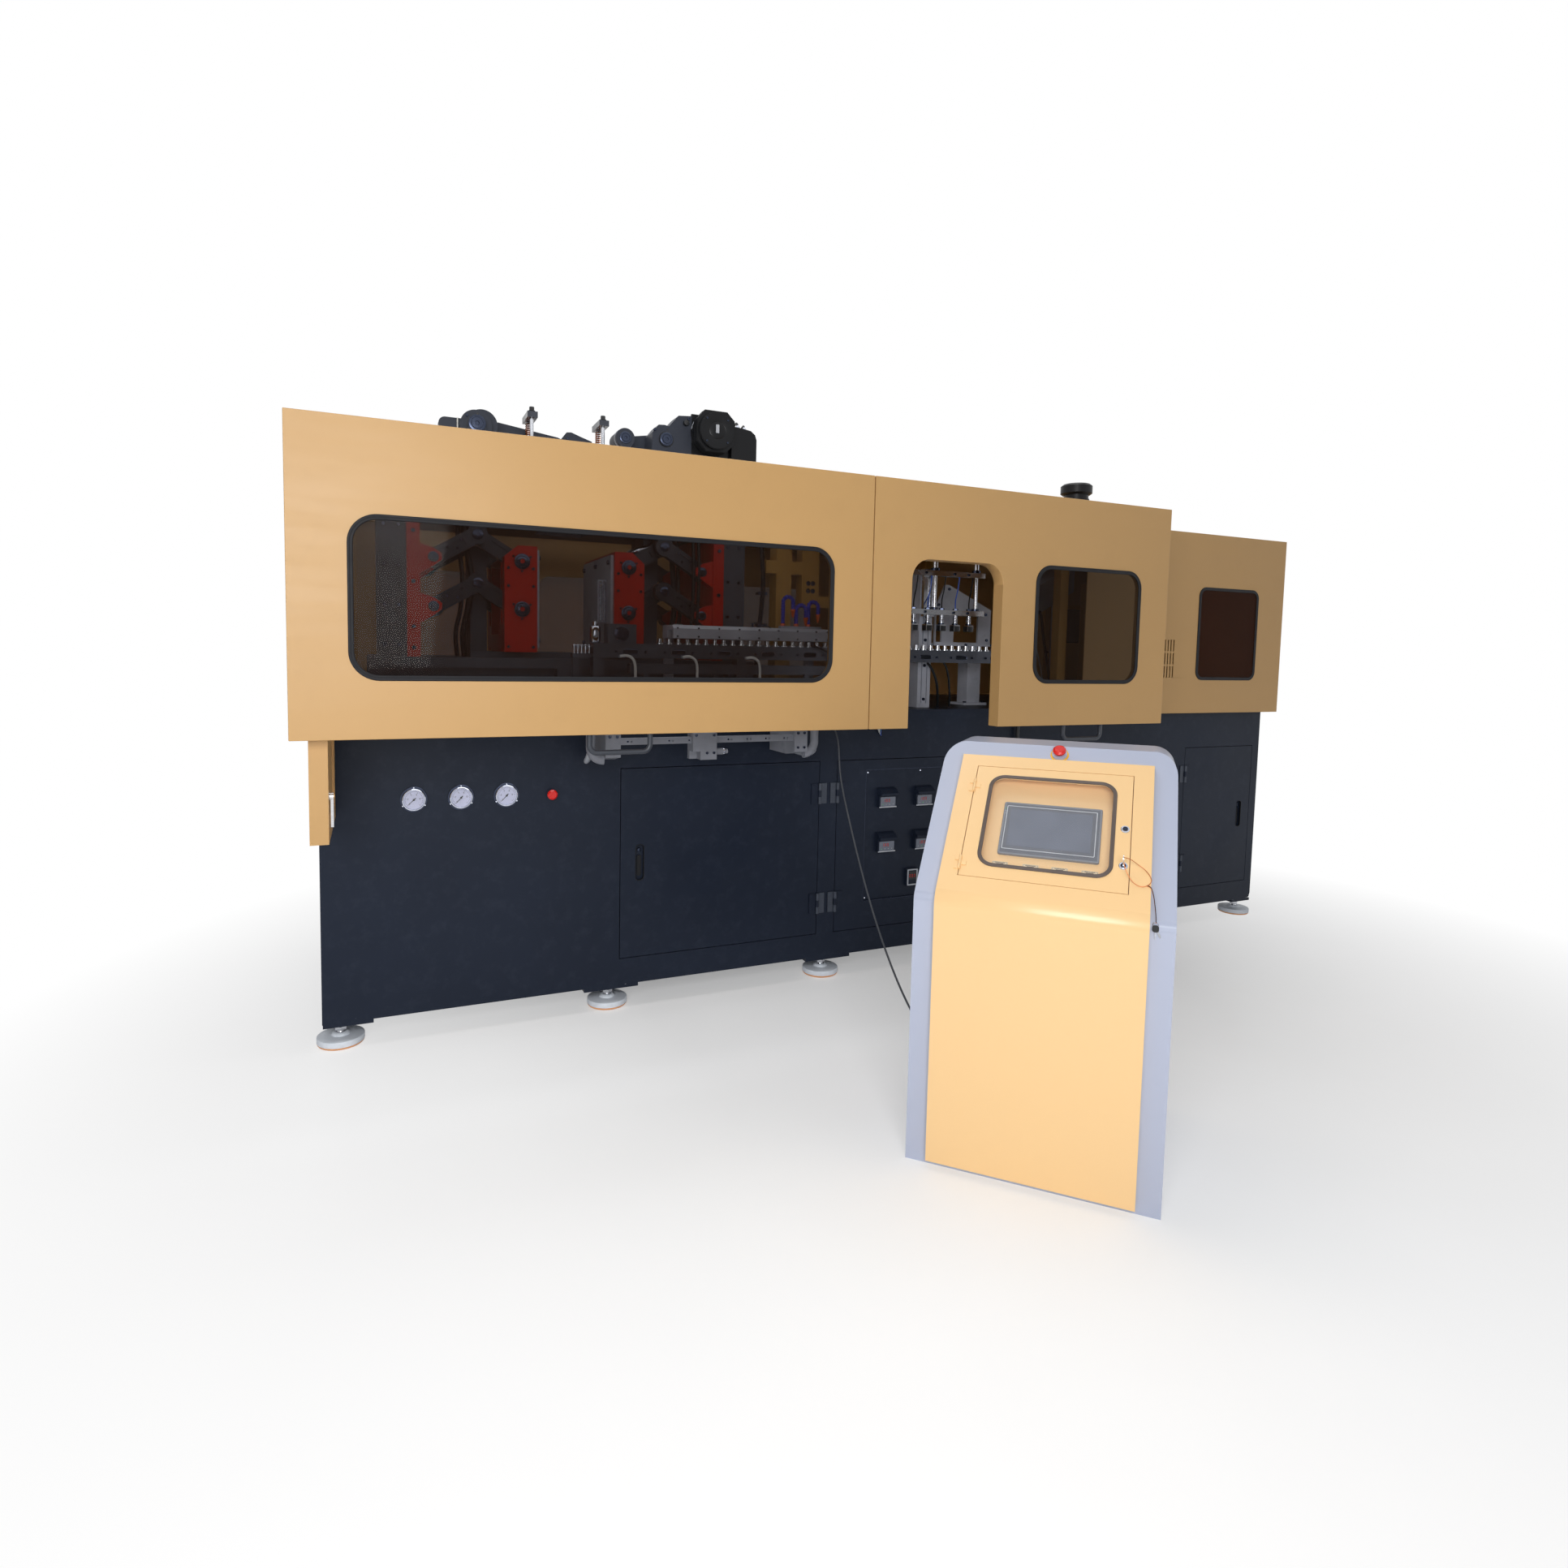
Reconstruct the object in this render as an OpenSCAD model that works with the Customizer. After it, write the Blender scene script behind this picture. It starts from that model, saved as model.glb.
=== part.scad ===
// Linear stretch blow moulding machine with its free-standing control console.
// X runs along the machine, Y from the front guards to the back, Z up from the floor.
// Every module is drawn from the left front lower corner of the guard outline, and
// place() then moves it so that the middle of the footprint is the origin.

/* [Overall] */
// Length over the front guards and the right housing
total_l = 4850; // [4700:10:5200]
// Depth from the guard face to the rear cover
total_d = 1900; // [1880:10:2100]
// Height of the lower edge of the upper covers
cover_z = 1170; // [1150:5:1190]
// Height of the upper edge of the upper covers
cover_top = 2100; // [2095:5:2140]

/* [Front guards] */
// Depth of the guard panels
guard_t = 60; // [50:1:64]
// Sheet thickness of the covers
skin = 4; // [3:0.5:5]
// Width of the left guard
guard_l = 1904; // [1880:2:1930]
// Gap between the two guards
guard_gap = 4; // [3:0.5:8]
// Right edge of the right guard
guard_end = 3396; // [3380:2:3410]
// Left edge of the long window
winl_x = 157; // [120:1:200]
// Length of the long window
winl_w = 1588; // [1400:2:1620]
// Height of the long window
winl_h = 484; // [420:2:520]
// Lower edge of both guard windows
win_z = 1343; // [1330:1:1360]
// Corner radius of the long window
winl_r = 85; // [60:1:110]
// Left edge of the outfeed notch
notch_x = 2078; // [2040:1:2100]
// Width of the outfeed notch
notch_w = 424; // [380:1:450]
// Height of the notch top above the floor
notch_top = 1812; // [1780:1:1840]
// Corner radius of the notch
notch_r = 78; // [50:1:100]
// Left edge of the second window
winr_x = 2666; // [2600:1:2700]
// Length of the second window
winr_w = 571; // [500:1:600]
// Height of the second window
winr_h = 480; // [420:2:520]
// Corner radius of the second window
winr_r = 75; // [50:1:100]
// Visible width of the window gaskets
gasket_w = 16; // [12:1:24]
// Height of the gasket lip in front of the skin
gasket_h = 4; // [2:0.5:6]
// Thickness of the window panes
pane_t = 5; // [3:0.5:8]
// Width of the lift handles
handle_w = 205; // [150:5:260]
// Drop of the lift handles below the guards
handle_drop = 62; // [45:1:80]
// Radius of the handle tube
handle_r = 9; // [7:0.5:12]

/* [Base] */
// Left face of the base cabinet
base_x = 43; // [40:1:44]
// Length of the base cabinet
base_l = 4757; // [4740:1:4780]
// Front face of the base cabinet
base_y = 568; // [560:1:572]
// Underside of the base cabinet
base_z = 98; // [90:1:110]
// Height of the deck
deck_z = 1200; // [1195:1:1210]
// Lower edge of the base doors
door_z = 207; // [190:1:220]
// Height of the base doors
door_h = 768; // [740:2:790]
// Thickness of the base doors
door_t = 22; // [16:1:30]
// Gap round each door
door_gap = 3; // [2:0.5:5]
// Left edge and width of the first door
door1_x = 1116; // [1100:1:1130]
door1_w = 885; // [860:1:900]
// Left edge and width of the second door
door2_x = 2092; // [2080:1:2110]
door2_w = 885; // [860:1:900]
// Distance of the third door's left edge from the right end of the base, and its width
door3_in = 574; // [560:1:600]
door3_w = 520; // [480:1:540]
// Depth of the compartments behind the doors
room_d = 520; // [400:10:600]
// Diameter of the levelling pads
foot_d = 160; // [140:5:220]
// Thickness of the levelling pads
foot_t = 30; // [22:1:36]
// Diameter of the levelling screws
screw_d = 24; // [16:1:30]
// Outer diameter of the pressure gauges
gauge_d = 94; // [80:1:120]
// Distance between the gauges
gauge_pitch = 162; // [130:1:180]
// Centre of the stop button on the base
stop_x = 843; // [800:1:900]
// Height of the gauge centres
gauge_z = 892; // [860:1:920]

/* [Right housing] */
// Front face of the right housing
house_y = 508; // [500:1:520]
// Left edge of the right housing
house_x = 3422; // [3415:1:3440]
// Height of the right housing
house_top = 2112; // [2095:1:2130]
// Left edge and width of its window
winh_x = 4195; // [4150:1:4220]
winh_w = 453; // [400:1:480]
// Height of its window
winh_h = 490; // [440:2:520]
// Corner radius of its window
winh_r = 48; // [30:1:70]

/* [Clamp] */
// Height of the upper toggle pins
pin_z = 1787; // [1780:1:1795]
// Height between the upper and the lower toggle pins
pin_dz = 188; // [180:1:200]
// Half of the span from the tailstock pin to the platen pin
tog_x = 164; // [160:1:168]
// Height of the knee above the pins
tog_h = 98; // [90:1:104]
// Middle of the mould space
clamp_x = 980; // [975:1:985]
// Distance from the middle to the platen pins at rest
pin_off = 216; // [210:1:220]
// Thickness of the platens
platen_t = 126; // [115:1:130]
// Front and back faces of the platens
clamp_y0 = 780; // [775:1:790]
clamp_y1 = 1340; // [1320:1:1350]
// Width of the toggle links
link_w = 78; // [70:1:84]
// Thickness of the toggle links
link_t = 38; // [34:1:40]
// Radius of the toggle pins
pin_r = 20; // [16:0.5:24]
// Radial clearance of pins in their eyes
pin_fit = 0.06; // [0.03:0.01:0.09]
// Clearance between faces that slide past each other
run_gap = 0.5; // [0.4:0.1:1.5]
// Height of the clamp bed
bed_h = 205; // [195:1:210]

/* [Preform line] */
// Front face of the preform conveyor
conv_y = 604; // [600:1:610]
// Top of the conveyor beam
conv_z = 1472; // [1466:1:1478]
// Pitch of the preform mandrels
mandrel_pitch = 40; // [36:1:50]
// Length of the oven reflector box
oven_l = 722; // [650:2:760]
// Height of the oven reflector box
oven_h = 54; // [46:1:70]
// Pitch of the pick heads
pick_pitch = 78; // [70:1:90]
// Number of pick heads
pick_n = 6; // [3:1:6]

/* [Console] */
// Width of the console body
con_w = 676; // [640:2:700]
// Height of the knee of the console
con_knee = 775; // [740:5:800]
// Height of the console
con_h = 1178; // [1150:2:1200]
// Setback of the upper edge behind the front
con_lean = 425; // [410:5:440]
// Depth of the console
con_d = 620; // [600:5:700]
// Width of the front panel
pan_w = 550; // [520:2:580]
// Thickness of the front panel
pan_t = 25; // [18:1:30]
// Width of the screen door
sdoor_w = 442; // [430:1:460]
// Length of the screen door up the slope
sdoor_l = 398; // [390:1:405]
// Width and height of the operator screen
hmi_w = 274; // [250:1:290]
hmi_l = 186; // [170:1:200]

/* [Hidden] */
$fn = 48;
// Middle of the footprint, which is the origin
con_x = 1846;
con_y = -1010;
con_a = -46.9;
con_front = con_y - con_w / 2 * sin(-con_a);
mid_x = total_l / 2;
mid_y = (con_front + total_d) / 2;
gr_x = guard_l + guard_gap;
hinge_y = guard_t + 8;
hinge_z = cover_top - 20;
beam_y = guard_t + 20;
beam_top = cover_top - 22;
beam_s = 50;
rear_y = total_d - guard_t;
base_x1 = base_x + base_l;
base_y1 = rear_y;
door3_x = base_x1 - door3_in;
house_z = cover_z;
eye_r = pin_r + pin_fit;
link_l = sqrt(tog_x * tog_x + tog_h * tog_h);
link_a = atan2(tog_h, tog_x);
link_y = clamp_y0 + 70;
slide_y = clamp_y1 - 70 - link_t;
tail_off = pin_off + 2 * tog_x;
bed_top = deck_z + bed_h;
rail_h = 24;
platen_z0 = bed_top + rail_h + run_gap;
platen_z1 = pin_z + 62;
clamp_top_z = pin_z + tog_h + link_w / 2 + 24;
slope_a = atan2(con_h - con_knee, con_lean);
slope_l = norm([con_h - con_knee, con_lean]);
sd_x0 = -222;
sd_s0 = 67;
recess = 40;
hmi_s0 = 174;
console_cable_r = 9;
thin_cable_r = 4;
foot_xs = [for (f = [0, 983, 1966, 3283, 4665]) base_x + 57 + f / 4600 * (base_l - 157)];
foot_ys = [640, base_y1 - 72];
pick_x0 = 2432;
pick_y = conv_y + 18;
col_x = 2574;
col_w = 70;
col_y = pick_y + 64;
rail_x0 = 1050;
rail_x1 = 1760;
rail_y = 340;
rail_z = 1096;

module place() translate([-mid_x, -mid_y, 0]) children();
// A block between two opposite corners
module block(a, b) translate(a) cube([b[0] - a[0], b[1] - a[1], b[2] - a[2]]);
// An outline in X and Z given a thickness from y0 to y1
module wall(y0, y1) translate([0, y1, 0]) rotate([90, 0, 0]) linear_extrude(y1 - y0) children();
// An outline in Y and Z given a thickness from x0 to x1
module slab(x0, x1) translate([x0, 0, 0]) rotate([90, 0, 90]) linear_extrude(x1 - x0) children();
module rod_y(r, x, y0, y1, z) translate([x, y1, z]) rotate([90, 0, 0]) cylinder(r = r, h = y1 - y0);
module rod_x(r, x0, x1, y, z) translate([x0, y, z]) rotate([0, 90, 0]) cylinder(r = r, h = x1 - x0);
module rod_z(r, x, y, z0, z1) translate([x, y, z0]) cylinder(r = r, h = z1 - z0);
// A rounded rectangle drawn from its lower left corner and drawn in by g all round
module rrect(x0, z0, w, h, r, g = 0) {
  translate([x0 + r, z0 + g]) square([w - 2 * r, h - 2 * g]);
  translate([x0 + g, z0 + r]) square([w - 2 * g, h - 2 * r]);
  for (i = [0, 1], j = [0, 1])
    translate([x0 + r + i * (w - 2 * r), z0 + r + j * (h - 2 * r)]) circle(r - g);
}

// Base
module door_room(x, w) block([x - door_gap, base_y - 1, door_z - door_gap],
  [x + w + door_gap, base_y + room_d, door_z + door_h + door_gap]);
module base_cabinet() place() color("#222a38") {
  difference() {
    wall(base_y, base_y1) polygon([[base_x, base_z], [base_x1 - 60, base_z],
      [base_x1 - 8, base_z + 6], [base_x1, base_z + 30], [base_x1, deck_z], [base_x, deck_z]]);
    door_room(door1_x, door1_w);
    door_room(door2_x, door2_w);
    door_room(door3_x, door3_w);
    rod_y(9, stop_x, base_y - 1, base_y + 8, gauge_z - 3);
  }
  // Foot brackets, each a flange plate under the cabinet
  for (x = foot_xs, y = foot_ys)
    block([x - 75 - (x > base_x + 100 ? 35 : -20), y - 72, base_z - 14],
      [min(x + 110, base_x1 - 2), y + 72, base_z]);
  // Collar of the stop button and the gland of the thin cable
  difference() {
    rod_y(19, stop_x, base_y - 8, base_y, gauge_z - 3);
    rod_y(9, stop_x, base_y - 9, base_y + 1, gauge_z - 3);
  }
  rod_y(11, 2030, base_y - 14, base_y, 1130);
}
module levelling_feet() place() color("#dcdcdc") for (x = foot_xs, y = foot_ys)
  translate([x, y, 0]) {
    cylinder(d1 = foot_d - 6, d2 = foot_d, h = 5);
    translate([0, 0, 5]) cylinder(d = foot_d, h = foot_t - 11);
    translate([0, 0, foot_t - 6]) cylinder(d1 = foot_d, d2 = foot_d - 16, h = 6);
    translate([0, 0, foot_t]) cylinder(d1 = 2.6 * screw_d, d2 = 1.7 * screw_d, h = 12);
    cylinder(d = screw_d, h = base_z - 14);
    translate([0, 0, foot_t + 18]) cylinder(d = 1.8 * screw_d, h = 16, $fn = 6);
  }
module pressure_gauges() place() color("#e6e2f2") for (i = [0 : 2]) {
  x = 351 + i * gauge_pitch;
  difference() {
    union() {
      rod_y(gauge_d / 2, x, base_y - 5, base_y, gauge_z);
      rod_y(gauge_d * 0.42, x, base_y - 16, base_y, gauge_z);
    }
    rod_y(gauge_d * 0.37, x, base_y - 17, base_y - 9, gauge_z);
    for (k = [0 : 2])
      translate([x, 0, gauge_z]) rotate([0, 30 + 120 * k, 0])
        rod_y(2.5, gauge_d * 0.46, base_y - 6, base_y + 1, 0);
  }
  rod_y(4, x, base_y - 12, base_y - 9, gauge_z);
}
module mushroom(head, stem, rise) {
  cylinder(r = stem, h = rise + 1);
  translate([0, 0, rise]) cylinder(r1 = head * 0.72, r2 = head, h = 5);
  translate([0, 0, rise + 5]) cylinder(r = head, h = 5);
  translate([0, 0, rise + 10]) cylinder(r1 = head, r2 = head * 0.72, h = 5);
}
module base_stop_button() place() color("#c81810")
  translate([stop_x, base_y + 2, gauge_z - 3]) rotate([90, 0, 0]) mushroom(19, 8.5, 16);

// Hinge halves on an upright pin; x runs away from the moving leaf
module leaf_fixed(h, lw) {
  for (z = [0, h * 2 / 3 + 0.4]) {
    translate([0, -7.5, z]) cylinder(r = 7, h = h / 3 - 0.4);
    translate([0, -5, z]) cube([9, 5, h / 3 - 0.4]);
  }
  translate([0, -7.5, 0]) cylinder(r = 3.5, h = h);
  translate([9, -5, 0]) cube([lw, 5, h]);
}
module leaf_moving(h, lw) difference() {
  union() {
    translate([0, -7.5, h / 3]) cylinder(r = 7, h = h / 3);
    translate([-9, -5, h / 3]) cube([9, 4.6, h / 3]);
    translate([-9 - lw, -5, 0]) cube([lw, 5, h]);
  }
  translate([0, -7.5, -1]) cylinder(r = 3.56, h = h + 2);
}
hinge_h = 90;
hinge_zs = [300, 790];
module base_door(x, w) {
  block([x, base_y, door_z], [x + w, base_y + door_t, door_z + door_h]);
}
module base_door_1() place() color("#222a38") {
  difference() {
    base_door(door1_x, door1_w);
    // Recessed pull slot with round ends
    wall(base_y - 1, base_y + door_t - 5) rrect(door1_x + 62, 520, 34, 146, 15);
  }
  for (z = hinge_zs)
    translate([door1_x + door1_w + door_gap / 2, base_y, z]) leaf_moving(hinge_h, 30);
}
module base_door_2() place() color("#222a38") {
  difference() {
    base_door(door2_x, door2_w);
    // Sunk instrument panel
    block([door2_x + 145, base_y - 1, 330], [door2_x + door2_w - 155, base_y + 10, 930]);
    wall(base_y - 1, base_y + door_t - 5) rrect(door2_x + door2_w - 96, 520, 34, 146, 15);
  }
  // Temperature controllers with hooded faces
  for (i = [0 : 2], j = [0 : 1])
    translate([door2_x + 212 + i * 198, base_y, 552 + j * 204]) slab(0, 90)
      polygon([[10, 0], [-12, 0], [-12, 52], [-30, 56], [-30, 66], [-8, 84], [10, 90]]);
  block([door2_x + 374, base_y - 8, 381], [door2_x + 434, base_y + 10, 461]);
  for (z = hinge_zs)
    translate([door2_x - door_gap / 2, base_y, z]) mirror([1, 0, 0]) leaf_moving(hinge_h, 30);
}
module base_door_3() place() color("#222a38") {
  difference() {
    base_door(door3_x, door3_w);
    wall(base_y - 1, base_y + door_t - 5) rrect(door3_x + door3_w - 96, 520, 34, 146, 15);
  }
  for (z = hinge_zs)
    translate([door3_x - door_gap / 2, base_y, z]) mirror([1, 0, 0]) leaf_moving(hinge_h, 30);
}
guard_hinge_xs = [250, 950, 1650, 2050, 2700, 3250];
end_hinge_zs = [1300, 1850];
module hinge_leaves() place() color("#3a3f48") {
  for (z = hinge_zs) {
    translate([door1_x + door1_w + door_gap / 2, base_y, z]) leaf_fixed(hinge_h, 26);
    for (x = [door2_x, door3_x])
      translate([x - door_gap / 2, base_y, z]) mirror([1, 0, 0]) leaf_fixed(hinge_h, 26);
  }
  for (x = guard_hinge_xs) {
    rod_x(3.5, x - 60, x + 60, hinge_y, hinge_z);
    for (s = [-60, 20.5]) {
      rod_x(7, x + s, x + s + 39.5, hinge_y, hinge_z);
      block([x + s, hinge_y, hinge_z - 14], [x + s + 39.5, beam_y, hinge_z]);
    }
  }
  for (z = end_hinge_zs)
    translate([45, 548, z]) rotate([0, 0, 270]) mirror([1, 0, 0]) leaf_fixed(hinge_h, 30);
}

// Front guards
module guard_eye(x) difference() {
  union() {
    rod_x(7, x - 20, x + 20, hinge_y, hinge_z);
    block([x - 20, guard_t, hinge_z - 7], [x + 20, hinge_y, hinge_z + 7]);
  }
  rod_x(3.56, x - 21, x + 21, hinge_y, hinge_z);
}
module lift_handle(x) {
  z = cover_z - handle_drop;
  for (s = [0, 1])
    rod_z(handle_r, x + s * handle_w, 30, z + 25, cover_z);
  rod_x(handle_r, x + 25, x + handle_w - 25, 30, z);
  for (s = [0, 1])
    translate([x + 25 + s * (handle_w - 50), 30, z + 25]) rotate([90, 0, 0])
      rotate([0, 0, 180 + 90 * s]) rotate_extrude(angle = 90) translate([25, 0]) circle(handle_r);
}
module winl_outline(g) rrect(winl_x, win_z, winl_w, winl_h, winl_r, g);
module winr_outline(g) rrect(winr_x, win_z, winr_w, winr_h, winr_r, g);
module notch_outline(g) rrect(notch_x, cover_z - 200, notch_w, notch_top - cover_z + 200, notch_r, g);
module guard_left() place() color("#d7ad70") {
  difference() {
    block([0, 0, cover_z], [guard_l, guard_t, cover_top]);
    difference() {
      block([skin, skin, cover_z + skin], [guard_l - skin, guard_t + 1, cover_top - skin]);
      wall(skin - 1, 26) winl_outline(-18);
      block([0, guard_t - skin, cover_top - 64], [guard_l, guard_t + 1, cover_top]);
      block([0, guard_t - skin, cover_z], [guard_l, guard_t + 1, cover_z + 40]);
    }
    wall(-1, guard_t + 1) winl_outline(8);
  }
  for (i = [0 : 2]) guard_eye(guard_hinge_xs[i]);
  lift_handle(868);
}
module guard_right() place() color("#d7ad70") {
  difference() {
    block([gr_x, 0, cover_z], [guard_end, guard_t, cover_top]);
    difference() {
      block([gr_x + skin, skin, cover_z + skin], [guard_end - skin, guard_t + 1, cover_top - skin]);
      wall(skin - 1, 26) winr_outline(-18);
      wall(skin - 1, guard_t + 2) notch_outline(-skin);
      block([gr_x, guard_t - skin, cover_top - 64], [guard_end, guard_t + 1, cover_top]);
      block([gr_x, guard_t - skin, cover_z], [guard_end, guard_t + 1, cover_z + 40]);
    }
    wall(-1, guard_t + 1) winr_outline(8);
    wall(-1, guard_t + 1) notch_outline(0);
  }
  for (i = [3 : 5]) guard_eye(guard_hinge_xs[i]);
  lift_handle(2866);
}
module window_left() place() color("#3a2418") {
  wall(0, pane_t) winl_outline(8.3);
  wall(-gasket_h, 0) difference() {
    winl_outline(0);
    winl_outline(gasket_w);
  }
}
module window_right() place() color("#3a2418") {
  wall(0, pane_t) winr_outline(8.3);
  wall(-gasket_h, 0) difference() {
    winr_outline(0);
    winr_outline(gasket_w);
  }
}
// Door on the left end, which reaches below the guards
module end_door() place() color("#d7ad70") {
  difference() {
    block([45, 70, 850], [97, 538, 2020]);
    block([90, 120, 900], [98, 490, 1970]);
  }
  block([90, 96, 962], [97, 136, 1012]);
  rod_x(6, 90, 112, 116, 988);
  for (z = end_hinge_zs)
    translate([45, 548, z]) rotate([0, 0, 270]) mirror([1, 0, 0]) leaf_moving(hinge_h, 30);
}
module latch_lever() place() color("#d9d5c8") difference() {
  union() {
    rod_x(13, 97.4, 109, 116, 988);
    slab(101, 109) polygon([[106, 988], [126, 988], [123, 900], [109, 900]]);
    rod_x(7, 101, 109, 116, 900);
  }
  rod_x(6.06, 97, 113, 116, 988);
}

// Upper covers
module cover_frame() place() color("#c79a4a") {
  block([105, beam_y, beam_top - beam_s], [guard_end - 6, beam_y + beam_s, beam_top]);
  block([105, rear_y - 60, beam_top - beam_s], [guard_end - 6, rear_y - 60 + beam_s, beam_top]);
  for (x = [105, 1888, guard_end - 56])
    block([x, beam_y + beam_s, beam_top - beam_s], [x + beam_s, rear_y - 60, beam_top]);
  for (x = [105, guard_end - 56], y = [600, rear_y - 60])
    block([x, y, deck_z], [x + beam_s, y + beam_s, beam_top - beam_s]);
  block([1888, rear_y - 60, deck_z], [1888 + beam_s, rear_y - 60 + beam_s, beam_top - beam_s]);
  // Inner portal beside the clamp with its cross bars and socket plate
  difference() {
    union() {
      block([1876, 790, deck_z], [1950, 864, beam_top - beam_s]);
      block([1824, 790, 1800], [2004, 850, 1858]);
      block([2004, 790, 1655], [2090, 850, beam_top - beam_s]);
      block([2090, 790, 1655], [2300, 850, 1708]);
      block([1950, 790, beam_top - beam_s - 50], [2004, 850, beam_top - beam_s]);
    }
    for (i = [0, 1], j = [0, 1])
      rod_y(7, 2036 + 24 * i, 789, 800, 1730 + 34 * j);
  }
}
module cover_window(x, w) rrect(x, win_z, w, winl_h, winr_r, 0);
module rear_covers() place() color("#d7ad70") {
  difference() {
    block([45, rear_y, cover_z], [guard_end, total_d, cover_top]);
    difference() {
      block([45 + skin, rear_y - 1, cover_z + skin], [guard_end - skin, total_d - skin, cover_top - skin]);
      for (x = [260, 1000, 2100])
        wall(total_d - 26, total_d) rrect(x - 18, win_z - 18, 536, winl_h + 36, winr_r + 18);
    }
    for (x = [260, 1000, 2100]) wall(rear_y - 2, total_d + 1) rrect(x, win_z, 500, winl_h, winr_r, 8);
  }
  // Left side cover behind the end door
  difference() {
    block([45, 552, deck_z], [97, rear_y, cover_top - 10]);
    block([45 + skin, 552 + skin, deck_z + skin], [98, rear_y + 1, cover_top - 10 - skin]);
    slab(44, 98) rrect(800, win_z, 700, winl_h, winr_r, 8);
  }
  // Roof sheet over the transfer section
  difference() {
    block([1960, beam_y + beam_s, beam_top], [guard_end - 6, rear_y, beam_top + 12]);
    rod_z(50, 3320, 500, beam_top - 1, beam_top + 20);
  }
}
module right_housing() place() color("#cfa567") {
  housing_shell();
  // Inner flange that lies on the deck
  difference() {
    block([house_x + 20, house_y + 1, deck_z], [total_l - 1, total_d - 1, deck_z + 4]);
    block([house_x - 1, base_y + 32, deck_z - 1], [base_x1 - 40, base_y1 - 40, deck_z + 5]);
  }
}
module housing_shell() difference() {
  block([house_x, house_y, house_z], [total_l, total_d, house_top]);
  block([house_x - 1, house_y + skin, house_z - 1], [total_l - skin, total_d - skin, house_top - skin]);
  wall(house_y - 1, house_y + skin + 1) rrect(winh_x, win_z + 2, winh_w, winh_h, winh_r, 8);
  // Three rows of upright vent slots
  for (i = [0 : 7], j = [0 : 2])
    wall(house_y - 1, house_y + skin + 1) rrect(3886 + i * 20, 1357 + j * 68, 8, 60, 3.5);
}
module fixed_windows() place() color("#6b3f16") {
  wall(house_y, house_y + pane_t) rrect(winh_x, win_z + 2, winh_w, winh_h, winh_r, 8.3);
  wall(house_y - gasket_h, house_y) difference() {
    rrect(winh_x, win_z + 2, winh_w, winh_h, winh_r, 0);
    rrect(winh_x, win_z + 2, winh_w, winh_h, winh_r, gasket_w);
  }
  for (x = [260, 1000, 2100])
    wall(total_d - pane_t, total_d) rrect(x, win_z, 500, winl_h, winr_r, 8.3);
  slab(45, 45 + pane_t) rrect(800, win_z, 700, winl_h, winr_r, 8.3);
}

// Mould clamp
// Mirrored about the middle of the mould space for the right half
module half(s) if (s > 0) children(); else translate([2 * clamp_x, 0, 0]) mirror([1, 0, 0]) children();
px0 = clamp_x - pin_off;
ax0 = clamp_x - tail_off;
kx0 = clamp_x - pin_off - tog_x;
lower_z = pin_z - pin_dz;
plat_x1 = px0 + 59;
plat_x0 = plat_x1 - platen_t;
module platen() {
  difference() {
    wall(clamp_y0, clamp_y1) polygon([[plat_x0, platen_z0], [plat_x1, platen_z0],
      [plat_x1, platen_z1], [plat_x0 + 52, platen_z1], [plat_x0, platen_z1 - 44]]);
    // Slots for the links, open to the tailstock side
    for (y = [link_y, slide_y], z = [pin_z, lower_z])
      block([plat_x0 - 1, y - 4, z - 60], [px0 + 46, y + link_t + 4, z + 104]);
    block([plat_x0 - 1, link_y + link_t + 30, platen_z0 + 70],
      [plat_x0 + 40, slide_y - 30, platen_z1 - 60]);
    for (y = [840, 1240]) block([plat_x0 - 1, y - run_gap, platen_z0 - 1],
      [plat_x1 + 1, y + 40 + run_gap, platen_z0 + 12]);
  }
  for (z = [pin_z, lower_z]) {
    rod_y(pin_r, px0, clamp_y0 - 14, clamp_y1 + 4, z);
    rod_y(30, px0, clamp_y0 - 8, clamp_y0, z);
  }
}
module platen_left() place() color("#a81c10") half(1) platen();
module platen_right() place() color("#a81c10") half(-1) platen();
// Link with an eye at each end, drawn from (0, 0) to (l, 0) in X and Z
module link(l, w, t, y) difference() {
  union() {
    wall(y, y + t) translate([0, -w * 0.4]) square([l, w * 0.8]);
    rod_y(w / 2, 0, y, y + t, 0);
    rod_y(w / 2, l, y, y + t, 0);
  }
  rod_y(eye_r, 0, y - 1, y + t + 1, 0);
  rod_y(eye_r, l, y - 1, y + t + 1, 0);
  wall(y - 1, y + 7) translate([l * 0.3, -w * 0.18]) square([l * 0.4, w * 0.36]);
}
// The pair of inner links turns on the tailstock and carries the knee pin
module link_in(z) translate([ax0, 0, z]) rotate([0, -link_a, 0])
  for (y = [link_y - link_t - 5, slide_y + link_t + 5]) {
    link(link_l, link_w, link_t, y);
    y0 = min(y, y + (y < 1000 ? 0 : -link_t - 5));
    rod_y(pin_r + 0.2, link_l, y - 4, y + link_t + 4, 0);
    rod_y(pin_r, link_l, y0, y0 + 2 * link_t + 5, 0);
  }
module link_out(z, slack) translate([kx0, 0, z + tog_h]) rotate([0, link_a, 0])
  for (y = [link_y, slide_y]) difference() {
    link(link_l, link_w, link_t, y);
    if (slack > 0) rod_y(eye_r + slack, link_l, y - 1, y + link_t + 1, 0);
  }
module link_in_upper_left() place() color("#4a4f58") half(1) link_in(pin_z);
module link_in_lower_left() place() color("#3a3f48") half(1) link_in(lower_z);
module link_out_upper_left() place() color("#4a4f58") half(1) link_out(pin_z, 0);
module link_out_lower_left() place() color("#3a3f48") half(1) link_out(lower_z, 0.4);
module link_in_upper_right() place() color("#4a4f58") half(-1) link_in(pin_z);
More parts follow.
